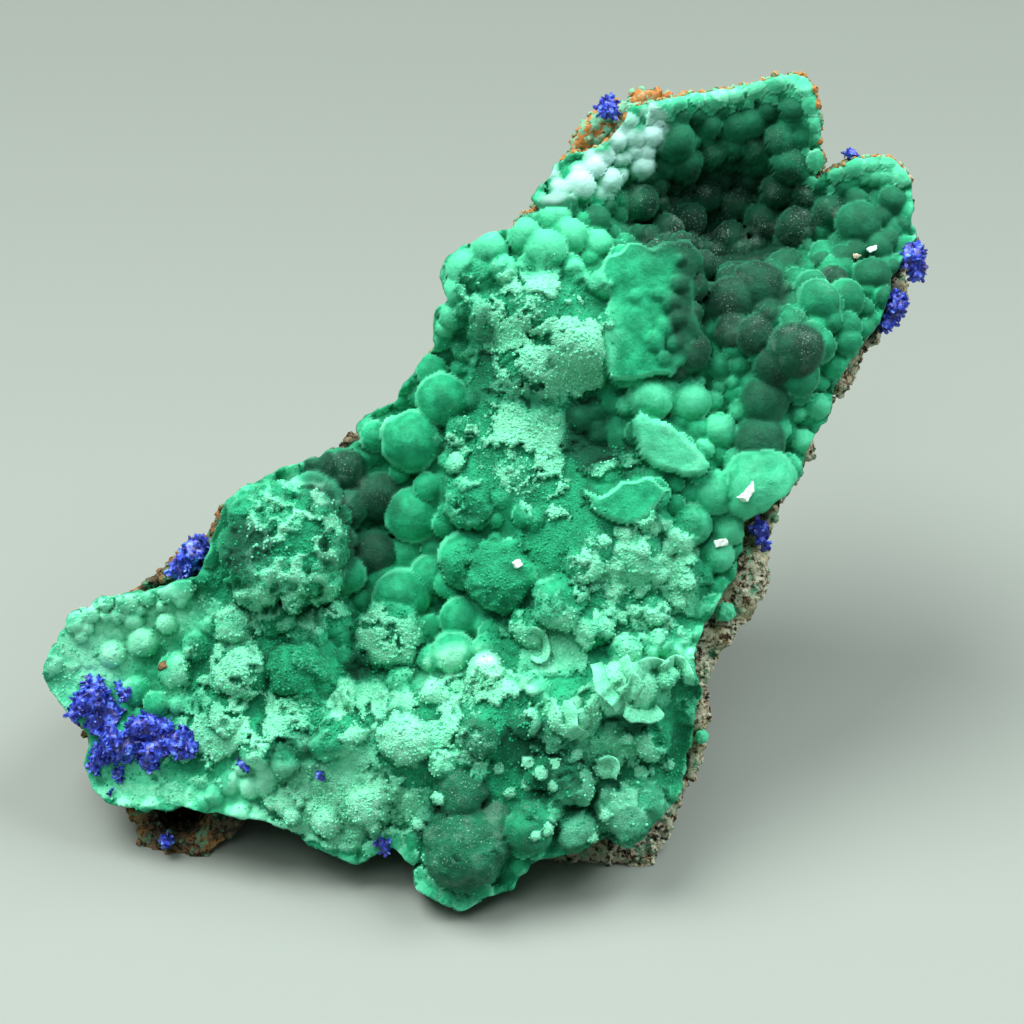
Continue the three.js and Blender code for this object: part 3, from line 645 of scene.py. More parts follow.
# %% Scalloped rim
LIPS = [
    ((16.5, 46), (37.5, 54), 1.3), ((36, 39.5), (50, 44), 1.2), ((-57, -14), (-38, -7), 1.1),
    ((-17, -48), (-2, -38), 1.3),
]
LIP_PITCH = 6
LIP_ROWS = ((2.1, 0.75), (0.7, 1.0))
lip = np.zeros(A.shape)
run = np.roll(OUTLINE, -3, axis=0) - np.roll(OUTLINE, 3, axis=0)
towards = np.stack((run[:, 1], -run[:, 0]), 1) / np.linalg.norm(run, axis=1)[:, None]
for low, high, size in LIPS:
    near = (OUTLINE >= np.array(low)).all(1) & (OUTLINE <= np.array(high)).all(1)
    for row, (inset, share) in enumerate(LIP_ROWS):
        spots = (OUTLINE + inset * towards)[near][3 * row::LIP_PITCH]
        for number, (a, b) in enumerate(spots):
            radius = size * share * (1 + 0.25 * math.sin(2.3 * number + row))
            away = np.hypot(A - a, B - b) / radius
            cap = base + 0.3 + 0.35 * row + 0.55 * radius * np.sqrt(np.clip(1 - away ** 2, 0, 1))
            wins = (away < 1) & (cap > height)
            height = np.where(wins, cap, height)
            lip = np.where(wins, 0.3 + 0.62 * away ** 4, lip)

# %% [markdown]
# ## Colour follows height
#
# The crests of the druse are pale, partly because they are the newest, finest
# crystals and partly as painted highlight, and the pits keep the deep green,
# with painted shade in them. So the tone maps come from the relief itself: how
# far each place stands above its surroundings.

# %% Tone maps
# Tones run from 0 to 1; pale may go a little over, where the crust is almost white.
fine = height - blurred(height, 2.2)
broad = height - blurred(height, 9)
# crest is how far a place stands above its surroundings. The pale that follows it is partly painted
# highlight on the tops of the druse and the balls.
crest = smooth(-0.14, 0.2, fine) * 0.6 + smooth(-0.5, 0.7, broad) * 0.4
patchy = 0.5 + 0.5 * fractal(A, B, 2.6, 4, 54)
covered = rough * pale_zone * (0.55 + 0.6 * cover) * (0.65 + 0.5 * crest)
plain_pale = (1 - rough) * pale_zone * (0.45 + 0.5 * crest) * (0.7 + 0.5 * patchy)
pale = np.clip(covered + plain_pale, 0, 1)
pale = np.maximum(pale, tones["pale"] * (0.35 + 0.5 * crest) * (0.55 + 0.45 * patchy))
# Painted sheen and painted shade on the smooth balls: rim paints a pale ring at each ball's edge, and
# middle_shade darkens its middle.
rim = smooth(0.78, 0.98, edge) * (1 - rough) * (0.35 + 0.45 * patchy)
middle_shade = (1 - smooth(0.1, 0.75, edge)) * (edge > 0) * (1 - rough) * 0.22
# Painted sheen: a pale band along each plate's edge.
pale = np.maximum(pale, 0.6 * plate_rim)
outer = near_edge(OUTLINE, A, B, 2.0)
pale = np.maximum(pale, 1.3 * solid_zone * (0.7 + 0.3 * crest))
edge_pale = (1 - smooth(0.1, 0.9, outer)) * smooth(0.35, 0.8, patchy)
pale = np.maximum(pale, 0.45 * edge_pale)
# Painted shade: the druse is darkened in its pits, and loses its pale there further down.
pit = rough * smooth(-0.06, -0.6, fine) * (1 - 0.55 * solid_zone)
dark = np.clip(np.maximum(tones["dark"], dark_and_shade_zone) * (1 - 0.3 * pale) + 0.6 * pit, 0, 1)
dark = np.maximum(dark, middle_shade * (1 - tones["pale"]))
lit_tops = 1 - 0.85 * np.maximum(tones["dark"], 0.8 * dark_and_shade_zone)
pale = np.clip(pale * (1 - 0.8 * pit) * lit_tops, 0, 1.3)
pale = pale * (1 - 0.8 * comb) + comb * (0.1 + 0.95 * walls) * (0.6 + 0.5 * patchy)
pale = np.maximum(pale, np.maximum(0.95 * rosette, lip))
dark = dark * (1 - np.maximum(rosette, 0.7 * (lip > 0)))
# Painted sheen: pale at each ball's edge, with its dark taken back there, more where the ball is not
# darkened.
pale = np.maximum(pale, rim * (0.25 + 0.75 * lit_tops))
dark = dark * (1 - 0.4 * smooth(0.84, 0.99, edge) * (1 - rough) * (0.4 + 0.6 * lit_tops))
# Painted shade: the crust is darkened where it lies below its surroundings, in creases and hollows.
middle_level = height - blurred(height, 5)
dark = np.maximum(dark, 0.32 * smooth(-0.3, -1.3, middle_level) * (1 - 0.6 * solid_zone))
frost = np.maximum(tones["frost"], frost_zone)
blue = np.maximum(tones["blue"] * 0.6, blue_zone) * smooth(-0.7, 0.3, broad)
blue = np.clip(blue * (0.75 + 0.3 * patchy), 0, 1)

# %% [markdown]
# ## From relief map to crust
#
# The grid inside the outline becomes the front of the mesh, one square per
# cell. Loose islands and pinched corners are dropped, and the open rim is walked
# once around, because the side wall will start from it. The crust's back is read
# off the CAD node, so the broken edge gets its real thickness.

# %% Crust front
cad_back = level_of("malachite_crust", BEHIND, 1)
LEAST_THICK = 2.0
back_level = np.minimum(filled(cad_back, 6), blurred(height, 4) - LEAST_THICK)


def at(field, across, up):
    """The field's value at places on the face, from the nearest grid point."""
    i = np.clip(np.round((across - across_line[0]) / STEP).astype(int), 0, len(across_line) - 1)
    j = np.clip(np.round((up - up_line[0]) / STEP).astype(int), 0, len(up_line) - 1)
    return field[i, j]


def largest_part(mask):
    """Keeps the one part of the mask that hangs together."""
    start = tuple(np.argwhere(mask)[len(np.argwhere(mask)) // 2])
    part = np.zeros(mask.shape, bool)
    part[start] = True
    while True:
        grown = part.copy()
        grown[1:] |= part[:-1]
        grown[:-1] |= part[1:]
        grown[:, 1:] |= part[:, :-1]
        grown[:, :-1] |= part[:, 1:]
        grown &= mask
        if (grown == part).all():
            return part
        part = grown


def rim_loop(faces):
    """The vertices along the open rim of a set of faces, in order."""
    sides = {}
    for face in faces:
        for start, end in zip(face, np.roll(face, -1)):
            sides[(int(start), int(end))] = True
    follow = {start: end for start, end in sides if (end, start) not in sides}
    first = next(iter(follow))
    loop = [first]
    while follow[loop[-1]] != first:
        loop.append(follow[loop[-1]])
    return loop, len(follow)


def squares(chosen):
    """The grid points that the chosen cells use, and their corners numbered anew."""
    index = np.arange(A.size).reshape(A.shape)
    corners = np.stack((index[:-1, :-1], index[1:, :-1], index[1:, 1:], index[:-1, 1:]), -1)[chosen]
    kept = np.unique(corners)
    renumber = np.full(A.size, -1)
    renumber[kept] = np.arange(len(kept))
    return kept, renumber[corners]


cells = inside(OUTLINE, A[:-1, :-1] + STEP / 2, B[:-1, :-1] + STEP / 2)
cells = largest_part(cells)
# A corner where two cells only touch would pinch the mesh, so one is taken away.
for _ in range(8):
    a, b, c, d = cells[:-1, :-1], cells[1:, :-1], cells[:-1, 1:], cells[1:, 1:]
    cells[:-1, :-1] &= ~(a & d & ~b & ~c)
    cells[1:, :-1] &= ~(b & c & ~a & ~d)
cells = largest_part(cells)
used, quads = squares(cells)
front = np.stack((A.ravel()[used], B.ravel()[used], height.ravel()[used]), 1)
loop, rim_size = rim_loop(quads)
print("front quads:", len(quads), "rim:", len(loop), "of", rim_size)

# %% [markdown]
# ## A smooth rim
#
# Grid cells end in steps, like a staircase. Each point of the rim is moved to
# the nearest place on the outline, and then eased towards its neighbours, so
# that the broken edge runs as smoothly as it was drawn.

# %% Rim drawn onto the outline
def eased(values, rounds, middle):
    """The values around a closed loop, each drawn towards its two neighbours."""
    for _ in range(rounds):
        around = np.roll(values, 1, axis=0) + middle * values + np.roll(values, -1, axis=0)
        values = around / (2 + middle)
    return values


def nearest_on(outline, spots):
    """The nearest place on the closed outline to each spot."""
    ends = np.roll(outline, -1, axis=0) - outline
    best = np.full(len(spots), np.inf)
    found = spots.copy()
    for start, run in zip(outline, ends):
        share = np.clip((spots - start) @ run / (run @ run), 0, 1)
        touch = start + share[:, None] * run
        away = np.linalg.norm(spots - touch, axis=1)
        closer = away < best
        best[closer] = away[closer]
        found[closer] = touch[closer]
    return found


front[loop, :2] = eased(nearest_on(OUTLINE, front[loop, :2]), 3, 2)
front[loop, 2] = eased(front[loop, 2], 2, 2)

# %% [markdown]
# ## Side wall
#
# Rings of points lead from the rim to the crust's back, with a slight bulge and
# some lumps, so the broken edge looks as thick as it is.

# %% Rim wall
WALL_STEPS = 5
WALL_TUCK = 1.1
WALL_BULGE = 0.35
WALL_LUMPS = 0.3
rim_points = front[loop]
rim_back = at(back_level, rim_points[:, 0], rim_points[:, 1])
inward = np.roll(rim_points[:, :2], -1, axis=0) - np.roll(rim_points[:, :2], 1, axis=0)
inward = np.stack((-inward[:, 1], inward[:, 0]), 1)
inward = eased(inward, 12, 1)
inward /= np.linalg.norm(inward, axis=1)[:, None]
points = [front]
walls = []
ring = np.array(loop)
for step in range(1, WALL_STEPS + 1):
    share = step / WALL_STEPS
    bulge = WALL_BULGE * math.sin(math.pi * share) - WALL_TUCK * share ** 2
    lump = WALL_LUMPS * clouds(rim_points[:, 0] + 3 * step, rim_points[:, 1], 0.9, 61)
    lump = lump * math.sin(math.pi * share)
    flat = rim_points[:, :2] - inward * (bulge + lump)[:, None]
    level = rim_points[:, 2] + (rim_back - rim_points[:, 2]) * share
    fresh = sum(len(p) for p in points) + np.arange(len(loop))
    points.append(np.column_stack((flat, level)))
    nxt = np.roll(np.arange(len(loop)), -1)
    walls.append(np.stack((ring, fresh, fresh[nxt], ring[nxt]), 1))
    ring = fresh

# %% [markdown]
# ## Back
#
# The back is hidden against the matrix, so a coarse sheet closes it. Points on a
# wide grid and the last ring of the wall are joined into triangles that keep to
# the ring, and they hang at the level of the CAD crust's back.

# %% Back sheet
BACK_PITCH = 2.0
last = points[-1]
inner_a, inner_b = np.meshgrid(
    np.arange(-58, 51, BACK_PITCH), np.arange(-48, 54, BACK_PITCH), indexing="ij"
)
keep = inside(last[:, :2], inner_a, inner_b)
keep &= near_edge(last[:, :2], inner_a, inner_b, 1.2) > 0.9
spots = np.vstack((last[:, :2], np.column_stack((inner_a[keep], inner_b[keep]))))
rim_edges = [(k, (k + 1) % len(last)) for k in range(len(last))]
made = delaunay_2d_cdt([Vector(s) for s in spots], rim_edges, [], 1, 1e-6)
flat_points, back_faces, origins = made[0], made[2], made[3]
back_numbers = np.zeros(len(flat_points), int)
extra = []
offset = sum(len(p) for p in points)
for k, place in enumerate(flat_points):
    known = [o for o in origins[k] if o < len(last)]
    if known:
        back_numbers[k] = ring[known[0]]
    else:
        back_numbers[k] = offset + len(extra)
        extra.append((place.x, place.y, float(at(back_level, np.array([place.x]), np.array([place.y]))[0])))
points.append(np.array(extra))
back_tris = [[int(back_numbers[i]) for i in face][::-1] for face in back_faces]
all_points = np.vstack(points)
all_faces = [*quads.tolist(), *np.vstack(walls).tolist(), *back_tris]

# %% [markdown]
# ## The crust as one piece
#
# Front, wall and back share their points, so together they are one closed mesh.
# It takes the tone maps along, one number per vertex, for the material to read.
# The broken wall has tones of its own.

# %% Crust piece
def linked(name, data):
    """A new object that shows the data, in the scene."""
    thing = bpy.data.objects.new(name, data)
    bpy.context.scene.collection.objects.link(thing)
    return thing


def mesh_of(name, places, faces):
    """A mesh from places in metres and faces given by their corners' numbers."""
    mesh = bpy.data.meshes.new(name)
    mesh.from_pydata([tuple(p) for p in places], [], [tuple(f) for f in faces])
    mesh.validate()
    return mesh


def mesh_piece(name, places, faces):
    """A new piece at the origin, shaded smooth."""
    piece = linked(name, mesh_of(name, places, faces))
    piece.data.shade_smooth()
    return piece


def give(piece, name, values):
    """Stores one number per vertex, for the material to read."""
    layers = piece.data.attributes
    layer = layers.get(name) or layers.new(name, "FLOAT", "POINT")
    layer.data.foreach_set("value", np.asarray(values, np.float32))


crust = mesh_piece("crust", stand(*all_points.T), all_faces)
n_front = len(front)
wall_patchy = 0.5 + 0.5 * clouds(all_points[:, 0], all_points[:, 1] + all_points[:, 2], 1.6, 62)
CRUST_TONES = {
    "pale": (pale, 0.55 * wall_patchy), "dark": (dark, 0.35 * (1 - wall_patchy)), "frost": (frost, 0.0),
    "blue": (blue, 0.0), "rough": (rough, 0.4), "cover": (cover, 0.5),
}
for name, (field, on_wall) in CRUST_TONES.items():
    values = np.zeros(len(all_points)) + on_wall
    values[:n_front] = field.ravel()[used]
    give(crust, name, values)
print("crust:", len(crust.data.polygons), "faces")

# %% [markdown]
# ## Node helpers
#
# Every finish below is a small node tree. These helpers keep the trees short to
# write: one adds a node with its settings, one reads a number stored on the
# mesh, some do sums, and one mixes two colours.


# %% Node helpers
class Finish:
    """A material whose nodes are added one call at a time."""

    def __init__(self, name):
        self.material = bpy.data.materials.new(name)
        self.material.use_nodes = True
        self.tree = self.material.node_tree
        self.tree.nodes.clear()
        self.shader = self.add("ShaderNodeBsdfPrincipled")
        out = self.add("ShaderNodeOutputMaterial")
        self.link(self.shader.outputs["BSDF"], out.inputs["Surface"])
        coordinates = self.add("ShaderNodeTexCoord")
        self.place = coordinates.outputs["Object"]

    def add(self, kind, **settings):
        node = self.tree.nodes.new(kind)
        for key, value in settings.items():
            setattr(node, key, value)
        return node

    def link(self, source, target):
        self.tree.links.new(source, target)

    def feed(self, target, value):
        """Links a socket, or sets a plain value."""
        if isinstance(value, bpy.types.NodeSocket):
            self.link(value, target)
        else:
            target.default_value = value

    def stored(self, name):
        node = self.add("ShaderNodeAttribute", attribute_name=name)
        return node.outputs["Fac"]

    def noise(self, scale, detail=3.0, rough=0.55):
        node = self.add("ShaderNodeTexNoise")
        self.link(self.place, node.inputs["Vector"])
        node.inputs["Scale"].default_value = scale
        node.inputs["Detail"].default_value = detail
        node.inputs["Roughness"].default_value = rough
        return node.outputs["Fac"]

    def math(self, operation, a, b):
        node = self.add("ShaderNodeMath", operation=operation)
        self.feed(node.inputs[0], a)
        self.feed(node.inputs[1], b)
        return node.outputs[0]

    def plus(self, a, b):
        return self.math("ADD", a, b)

    def minus(self, a, b):
        return self.math("SUBTRACT", a, b)

    def times(self, a, b):
        return self.math("MULTIPLY", a, b)

    def most(self, a, b):
        return self.math("MAXIMUM", a, b)

    def span(self, value, low, high, to_low=0.0, to_high=1.0):
        """Eases from one number to another while the value runs from low to high."""
        node = self.add("ShaderNodeMapRange", interpolation_type="SMOOTHSTEP")
        self.feed(node.inputs["Value"], value)
        ends = {"From Min": low, "From Max": high, "To Min": to_low, "To Max": to_high}
        for socket, number in ends.items():
            node.inputs[socket].default_value = number
        return node.outputs["Result"]

    def mix(self, share, a, b):
        node = self.add("ShaderNodeMix", data_type="RGBA")
        self.feed(node.inputs[0], share)
        self.feed(node.inputs[6], a)
        self.feed(node.inputs[7], b)
        return node.outputs[2]

    def bump(self, height, distance, strength, normal=None):
        node = self.add("ShaderNodeBump")
        self.link(height, node.inputs["Height"])
        node.inputs["Distance"].default_value = distance
        node.inputs["Strength"].default_value = strength
        if normal is not None:
            self.link(normal, node.inputs["Normal"])
        return node.outputs["Normal"]

    def set(self, **sockets):
        for name, value in sockets.items():
            self.feed(self.shader.inputs[name.replace("_", " ")], value)


def rgb(red, green, blue):
    return (red, green, blue, 1.0)


# %% [markdown]
# ## Malachite
#
# One material for the whole crust. The stored tones pick between deep emerald,
# mint crests, bottle green and the pale blue of the roof; the bottle green also
# carries painted shade, and the palest mint painted highlight. Velvet malachite
# scatters light at grazing angles, which is what sheen is for.

# %% Malachite finish
EMERALD = rgb(0.006, 0.24, 0.105)
BRIGHT = rgb(0.018, 0.42, 0.195)
MINT = rgb(0.225, 0.79, 0.50)
JADE = rgb(0.075, 0.55, 0.30)
BOTTLE_AND_SHADE = rgb(0.003, 0.028, 0.016)
ICE = rgb(0.43, 0.75, 0.69)
GREY = rgb(0.30, 0.50, 0.40)
FOREST = rgb(0.006, 0.13, 0.065)
SNOW = rgb(0.56, 0.95, 0.78)

malachite = Finish("velvet_malachite")
soft = malachite.noise(420, 4, 0.6)
crusty = malachite.noise(800, 7, 0.68)
grainy = malachite.noise(3800, 3, 0.65)
rough_here = malachite.stored("rough")
stored_pale = malachite.stored("pale")
ragged = malachite.minus(crusty, 0.5)
salt = malachite.minus(grainy, 0.5)
velvet_pale = malachite.plus(stored_pale, malachite.times(ragged, 0.7))
# On the druse the mint comes in flakes with ragged edges: more of them, the paler it is.
wanted = malachite.times(malachite.minus(stored_pale, 0.40), 0.46)
level_here = malachite.times(malachite.minus(malachite.stored("cover"), 0.5), 0.15)
wanted = malachite.plus(wanted, level_here)
flakes = malachite.span(malachite.plus(crusty, wanted), 0.475, 0.53)
under = malachite.plus(malachite.noise(1250, 6, 0.66), wanted)
under = malachite.span(under, 0.43, 0.54, 0.0, 0.34)
reach = malachite.plus(malachite.times(stored_pale, 0.42), 0.46)
flaky_pale = malachite.most(malachite.times(flakes, reach), under)
flaky_pale = malachite.plus(flaky_pale, malachite.times(salt, 1.0))
flaky_pale = malachite.plus(flaky_pale, malachite.times(ragged, 0.7))
step_over = malachite.minus(flaky_pale, velvet_pale)
pale_share = malachite.plus(velvet_pale, malachite.times(rough_here, step_over))
green = malachite.mix(malachite.span(soft, 0.35, 0.65), EMERALD, BRIGHT)
# deep_pits darkens the noise's low spots towards forest green. They are the low spots of the bump below
# too, so this is painted shade in its pits.
deep_pits = malachite.span(malachite.plus(ragged, salt), 0.0, -0.25)
pit_strength = malachite.plus(malachite.times(rough_here, 0.45), 0.3)
deep_pits = malachite.times(deep_pits, pit_strength)
green = malachite.mix(deep_pits, green, FOREST)
JADE_AT = 0.5
body = malachite.mix(malachite.span(pale_share, 0.04, JADE_AT), green, JADE)
body = malachite.mix(malachite.span(pale_share, JADE_AT, 0.9), body, MINT)
# The whitest flakes turn to snow: partly near-white crystals and partly painted highlight on the crests.
body = malachite.mix(malachite.span(pale_share, 0.95, 1.35), body, SNOW)
cloudy = malachite.span(malachite.noise(300, 4, 0.6), 0.35, 0.65, 0.88, 1.0)
# The stored dark tone turns the colour to bottle green: partly the dark green of the vug and of dark balls,
# partly painted shade in recesses, pits, creases and ball middles.
darkness = malachite.times(malachite.stored("dark"), cloudy)
body = malachite.mix(darkness, body, BOTTLE_AND_SHADE)
dust = malachite.span(malachite.noise(4300, 2, 0.6), 0.60, 0.70)
clumps = malachite.span(malachite.noise(300, 3, 0.6), 0.42, 0.56)
veil = malachite.span(malachite.noise(350, 6, 0.7), 0.50, 0.66, 0.0, 0.22)
dusted = malachite.most(malachite.times(dust, clumps), veil)
frosting = malachite.times(malachite.stored("frost"), dusted)
body = malachite.mix(malachite.times(frosting, 0.8), body, GREY)
body = malachite.mix(malachite.stored("blue"), body, ICE)
malachite.set(Base_Color=body, Roughness=0.6, Sheen_Weight=0.03, Sheen_Roughness=0.5)
malachite.set(Sheen_Tint=rgb(0.55, 0.95, 0.75), Specular_IOR_Level=0.15)
relief = malachite.bump(pale_share, 0.0005, 0.8)
relief = malachite.bump(grainy, 0.00012, 0.5, relief)
malachite.set(Normal=relief)


def finished(piece, finish, slot, *nodes):
    """Gives the piece its finish, hangs it under the root and hides the CAD nodes that it replaces. slot is
    not used.
    """
    piece.data.materials.clear()
    piece.data.materials.append(finish.material)
    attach(piece, "root")
    if nodes:
        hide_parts(*nodes)


finished(crust, malachite, "malachite", "malachite_crust")

# %% [markdown]
# ## Working on CAD pieces
#
# CAD meshes have long triangles that can't carry fine detail. A copy is joined
# up and remeshed into even squares, and its points can then be read, pushed
# about with numpy and put back.

# %% Mesh helpers
def merged_copy(node, name):
    """A copy of a CAD node with its loose triangles joined."""
    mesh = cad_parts[node].data
    places = np.array([v.co for v in mesh.vertices])
    keys, numbers = np.unique(np.round(places / 2e-7).astype(np.int64), axis=0, return_inverse=True)
    faces = [[int(numbers[i]) for i in p.vertices] for p in mesh.polygons]
    faces = [f for f in faces if len(set(f)) == len(f)]
    return mesh_piece(name, keys * 2e-7, faces)


def apply_modifiers(piece):
    """Makes the result of the modifiers the piece's own mesh."""
    shaped = piece.evaluated_get(bpy.context.evaluated_depsgraph_get())
    made_mesh = bpy.data.meshes.new_from_object(shaped)
    piece.modifiers.clear()
    piece.data = made_mesh


def remeshed(piece, voxel):
    """Replaces the piece's mesh by an even one."""
    modifier = piece.modifiers.new("even", "REMESH")
    modifier.mode = "VOXEL"
    modifier.voxel_size = voxel
    apply_modifiers(piece)
    piece.data.shade_smooth()


def read(rows, field):
    """Three numbers per row of a mesh, as an array."""
    flat = np.empty(len(rows) * 3, np.float32)
    rows.foreach_get(field, flat)
    return flat.reshape(-1, 3).astype(float)


def places_of(piece):
    return read(piece.data.vertices, "co")


def normals_of(piece):
    return read(piece.data.vertex_normals, "vector")


def put(piece, places):
    """Moves the piece's vertices to new places."""
    piece.data.vertices.foreach_set("co", places.astype(np.float32).ravel())


# %% [markdown]
# ## The matrix
#
# Limonite is what is left when iron ore weathers: brown, rusty and black, full
# of holes. The CAD block is remeshed into an even skin, and noise along its
# normals breaks it up. Its feet stay flat, because it stands on them.

# %% Matrix skin
MATRIX_VOXEL = 0.0006
matrix = merged_copy("limonite_matrix", "matrix")
remeshed(matrix, MATRIX_VOXEL)
places = places_of(matrix)
normals = normals_of(matrix)
lump = np.array([noise.fractal(Vector(p * 160), 0.6, 2.1, 4) for p in places])
grit_noise = np.array([noise.noise(Vector(p * 1100)) for p in places])
pore = np.array([noise.cell(Vector(p * 380)) for p in places])
LUMP_HEIGHT, GRIT_HEIGHT, PORE_DEPTH = 0.0011, 0.00035, 0.0003
push = LUMP_HEIGHT * lump + GRIT_HEIGHT * grit_noise - PORE_DEPTH * smooth(0.5, 1.0, pore)
standing = smooth(0.0002, 0.0016, places[:, 2])
places = places + normals * (push * standing)[:, None]
HOLLOW_AT = (-40.2, -36.7)
HOLLOW_HALF = (3.6, 2.9)
HOLLOW_DEPTH = 6.0
across_now, up_now, out_now = on_face(places)
from_middle = (across_now - HOLLOW_AT[0], up_now - HOLLOW_AT[1])
from_hollow = np.hypot(from_middle[0] / HOLLOW_HALF[0], from_middle[1] / HOLLOW_HALF[1])
hollow = (1 - smooth(0.45, 1.0, from_hollow)) * smooth(-16, -11, out_now)
places = places - OUT * (HOLLOW_DEPTH * MM * hollow)[:, None]
places[:, 2] = np.maximum(places[:, 2], 0.0)
put(matrix, places)
matrix.data.update()
give(matrix, "hollow", hollow)
print("matrix:", len(matrix.data.polygons), "faces")

# %% [markdown]
# ## Limonite
#
# One material for everything brown. It is rust and umber in patches, peppered
# with soot-black and pale sand, sandier towards the right foot. Near the top a
# growth of orange and green covers it.

# %% Limonite finish
RUST = rgb(0.34, 0.145, 0.03)
UMBER = rgb(0.060, 0.040, 0.020)
SOOT_AND_SHADE = rgb(0.008, 0.007, 0.005)
SAND = rgb(0.54, 0.55, 0.41)
ORANGE = rgb(0.46, 0.17, 0.028)
VERDIGRIS = rgb(0.16, 0.50, 0.31)
MOSS = rgb(0.09, 0.34, 0.19)
OLIVE = rgb(0.30, 0.28, 0.13)

limonite = Finish("granular_limonite")
where = limonite.add("ShaderNodeSeparateXYZ")
limonite.link(limonite.place, where.inputs[0])
sandy = limonite.span(where.outputs["X"], -0.03, 0.02, 0.1, 1.0)
uneven_height = limonite.plus(where.outputs["Z"], limonite.times(limonite.noise(140, 4, 0.6), 0.03))
grown_over = limonite.span(uneven_height, 0.076, 0.083, 0.0, 0.9)
blotch = limonite.noise(170, 4, 0.6)
speck = limonite.noise(1150, 5, 0.72)
fleck = limonite.noise(700, 4, 0.7)
stone = limonite.mix(limonite.span(blotch, 0.38, 0.6), UMBER, RUST)
stone = limonite.mix(limonite.times(limonite.span(blotch, 0.45, 0.62), sandy), stone, OLIVE)
stone = limonite.mix(limonite.span(speck, 0.52, 0.40, 0, 0.9), stone, SOOT_AND_SHADE)
pale_specks = limonite.span(speck, 0.43, 0.55)
pale_patches = limonite.times(pale_specks, limonite.span(blotch, 0.62, 0.46, 0.35, 1.0))
stone = limonite.mix(limonite.times(pale_patches, sandy), stone, SAND)
green_specks = limonite.span(fleck, 0.54, 0.62)
stone = limonite.mix(limonite.times(green_specks, 0.75), stone, MOSS)
growth = limonite.mix(limonite.span(fleck, 0.46, 0.54), ORANGE, VERDIGRIS)
growth = limonite.mix(limonite.span(speck, 0.44, 0.36), growth, UMBER)
stone = limonite.mix(grown_over, stone, growth)
# Painted shade: the hollow under the crust beside the left leg is turned almost black.
stone = limonite.mix(limonite.times(limonite.stored("hollow"), 0.9), stone, SOOT_AND_SHADE)
limonite.set(Base_Color=stone, Roughness=0.9, Specular_IOR_Level=0.25)
limonite.set(Normal=limonite.bump(speck, 0.0006, 0.9))
finished(matrix, limonite, "limonite", "limonite_matrix")

# %% [markdown]
# ## Azurite
#
# Azurite is a glassy blue crystal, deep where the light is swallowed and cobalt
# where it comes back. One noise picks between three blues and roughens the
# surface a little; its cobalt flecks are painted glints.

# %% Azurite finish
ULTRAMARINE = rgb(0.030, 0.062, 0.60)
MIDNIGHT = rgb(0.008, 0.014, 0.17)
COBALT = rgb(0.16, 0.33, 0.95)

azurite = Finish("azurite_crystal")
blue_noise = azurite.noise(1100, 4, 0.65)
deep = azurite.mix(azurite.span(blue_noise, 0.42, 0.55), MIDNIGHT, ULTRAMARINE)
# The cobalt flecks are painted glints.
deep = azurite.mix(azurite.span(blue_noise, 0.54, 0.66), deep, COBALT)
azurite.set(Base_Color=deep, Roughness=0.45, Specular_IOR_Level=0.4, IOR=1.7)
azurite.set(Normal=azurite.bump(blue_noise, 0.0002, 0.4))


# %% [markdown]
# ## A blade
#
# Azurite grows as sprays of small blades. One is enough to model: a
# flat lath with a chisel tip, one unit long, to be shrunk and copied.

# %% A blade
def blade_mesh():
    """One lath-shaped crystal, a unit long, with a chisel tip."""
    width, thick, shoulder = 0.34, 0.14, 0.72
    ring = [(-width, -thick), (width, -thick), (width, thick), (-width, thick)]
    corners = [(x, y, 0.0) for x, y in ring] + [(x, y, shoulder) for x, y in ring]
    corners += [(-width * 0.5, 0, 1.0), (width * 0.5, 0, 1.0)]
    faces = [(3, 2, 1, 0), (0, 1, 5, 4), (1, 2, 6, 5), (2, 3, 7, 6), (3, 0, 4, 7)]
    faces += [(4, 5, 9, 8), (6, 7, 8, 9), (5, 6, 9), (7, 4, 8)]
    return mesh_of("blade", corners, faces)


# %% [markdown]
# ## A tree that scatters copies
#
# Geometry Nodes spreads copies of one object over a surface, turned out along
# it, with random sizes and tilts. The surface's own share says how densely they
# stand. The result is kept as a plain mesh, so nothing stays live.

# %% The scattering tree
SCATTER_INPUTS = {
    "Geometry": "Geometry", "Copy": "Object", "Density": "Float", "Smallest": "Float",
    "Largest": "Float", "Seed": "Int", "Finish": "Material",
}


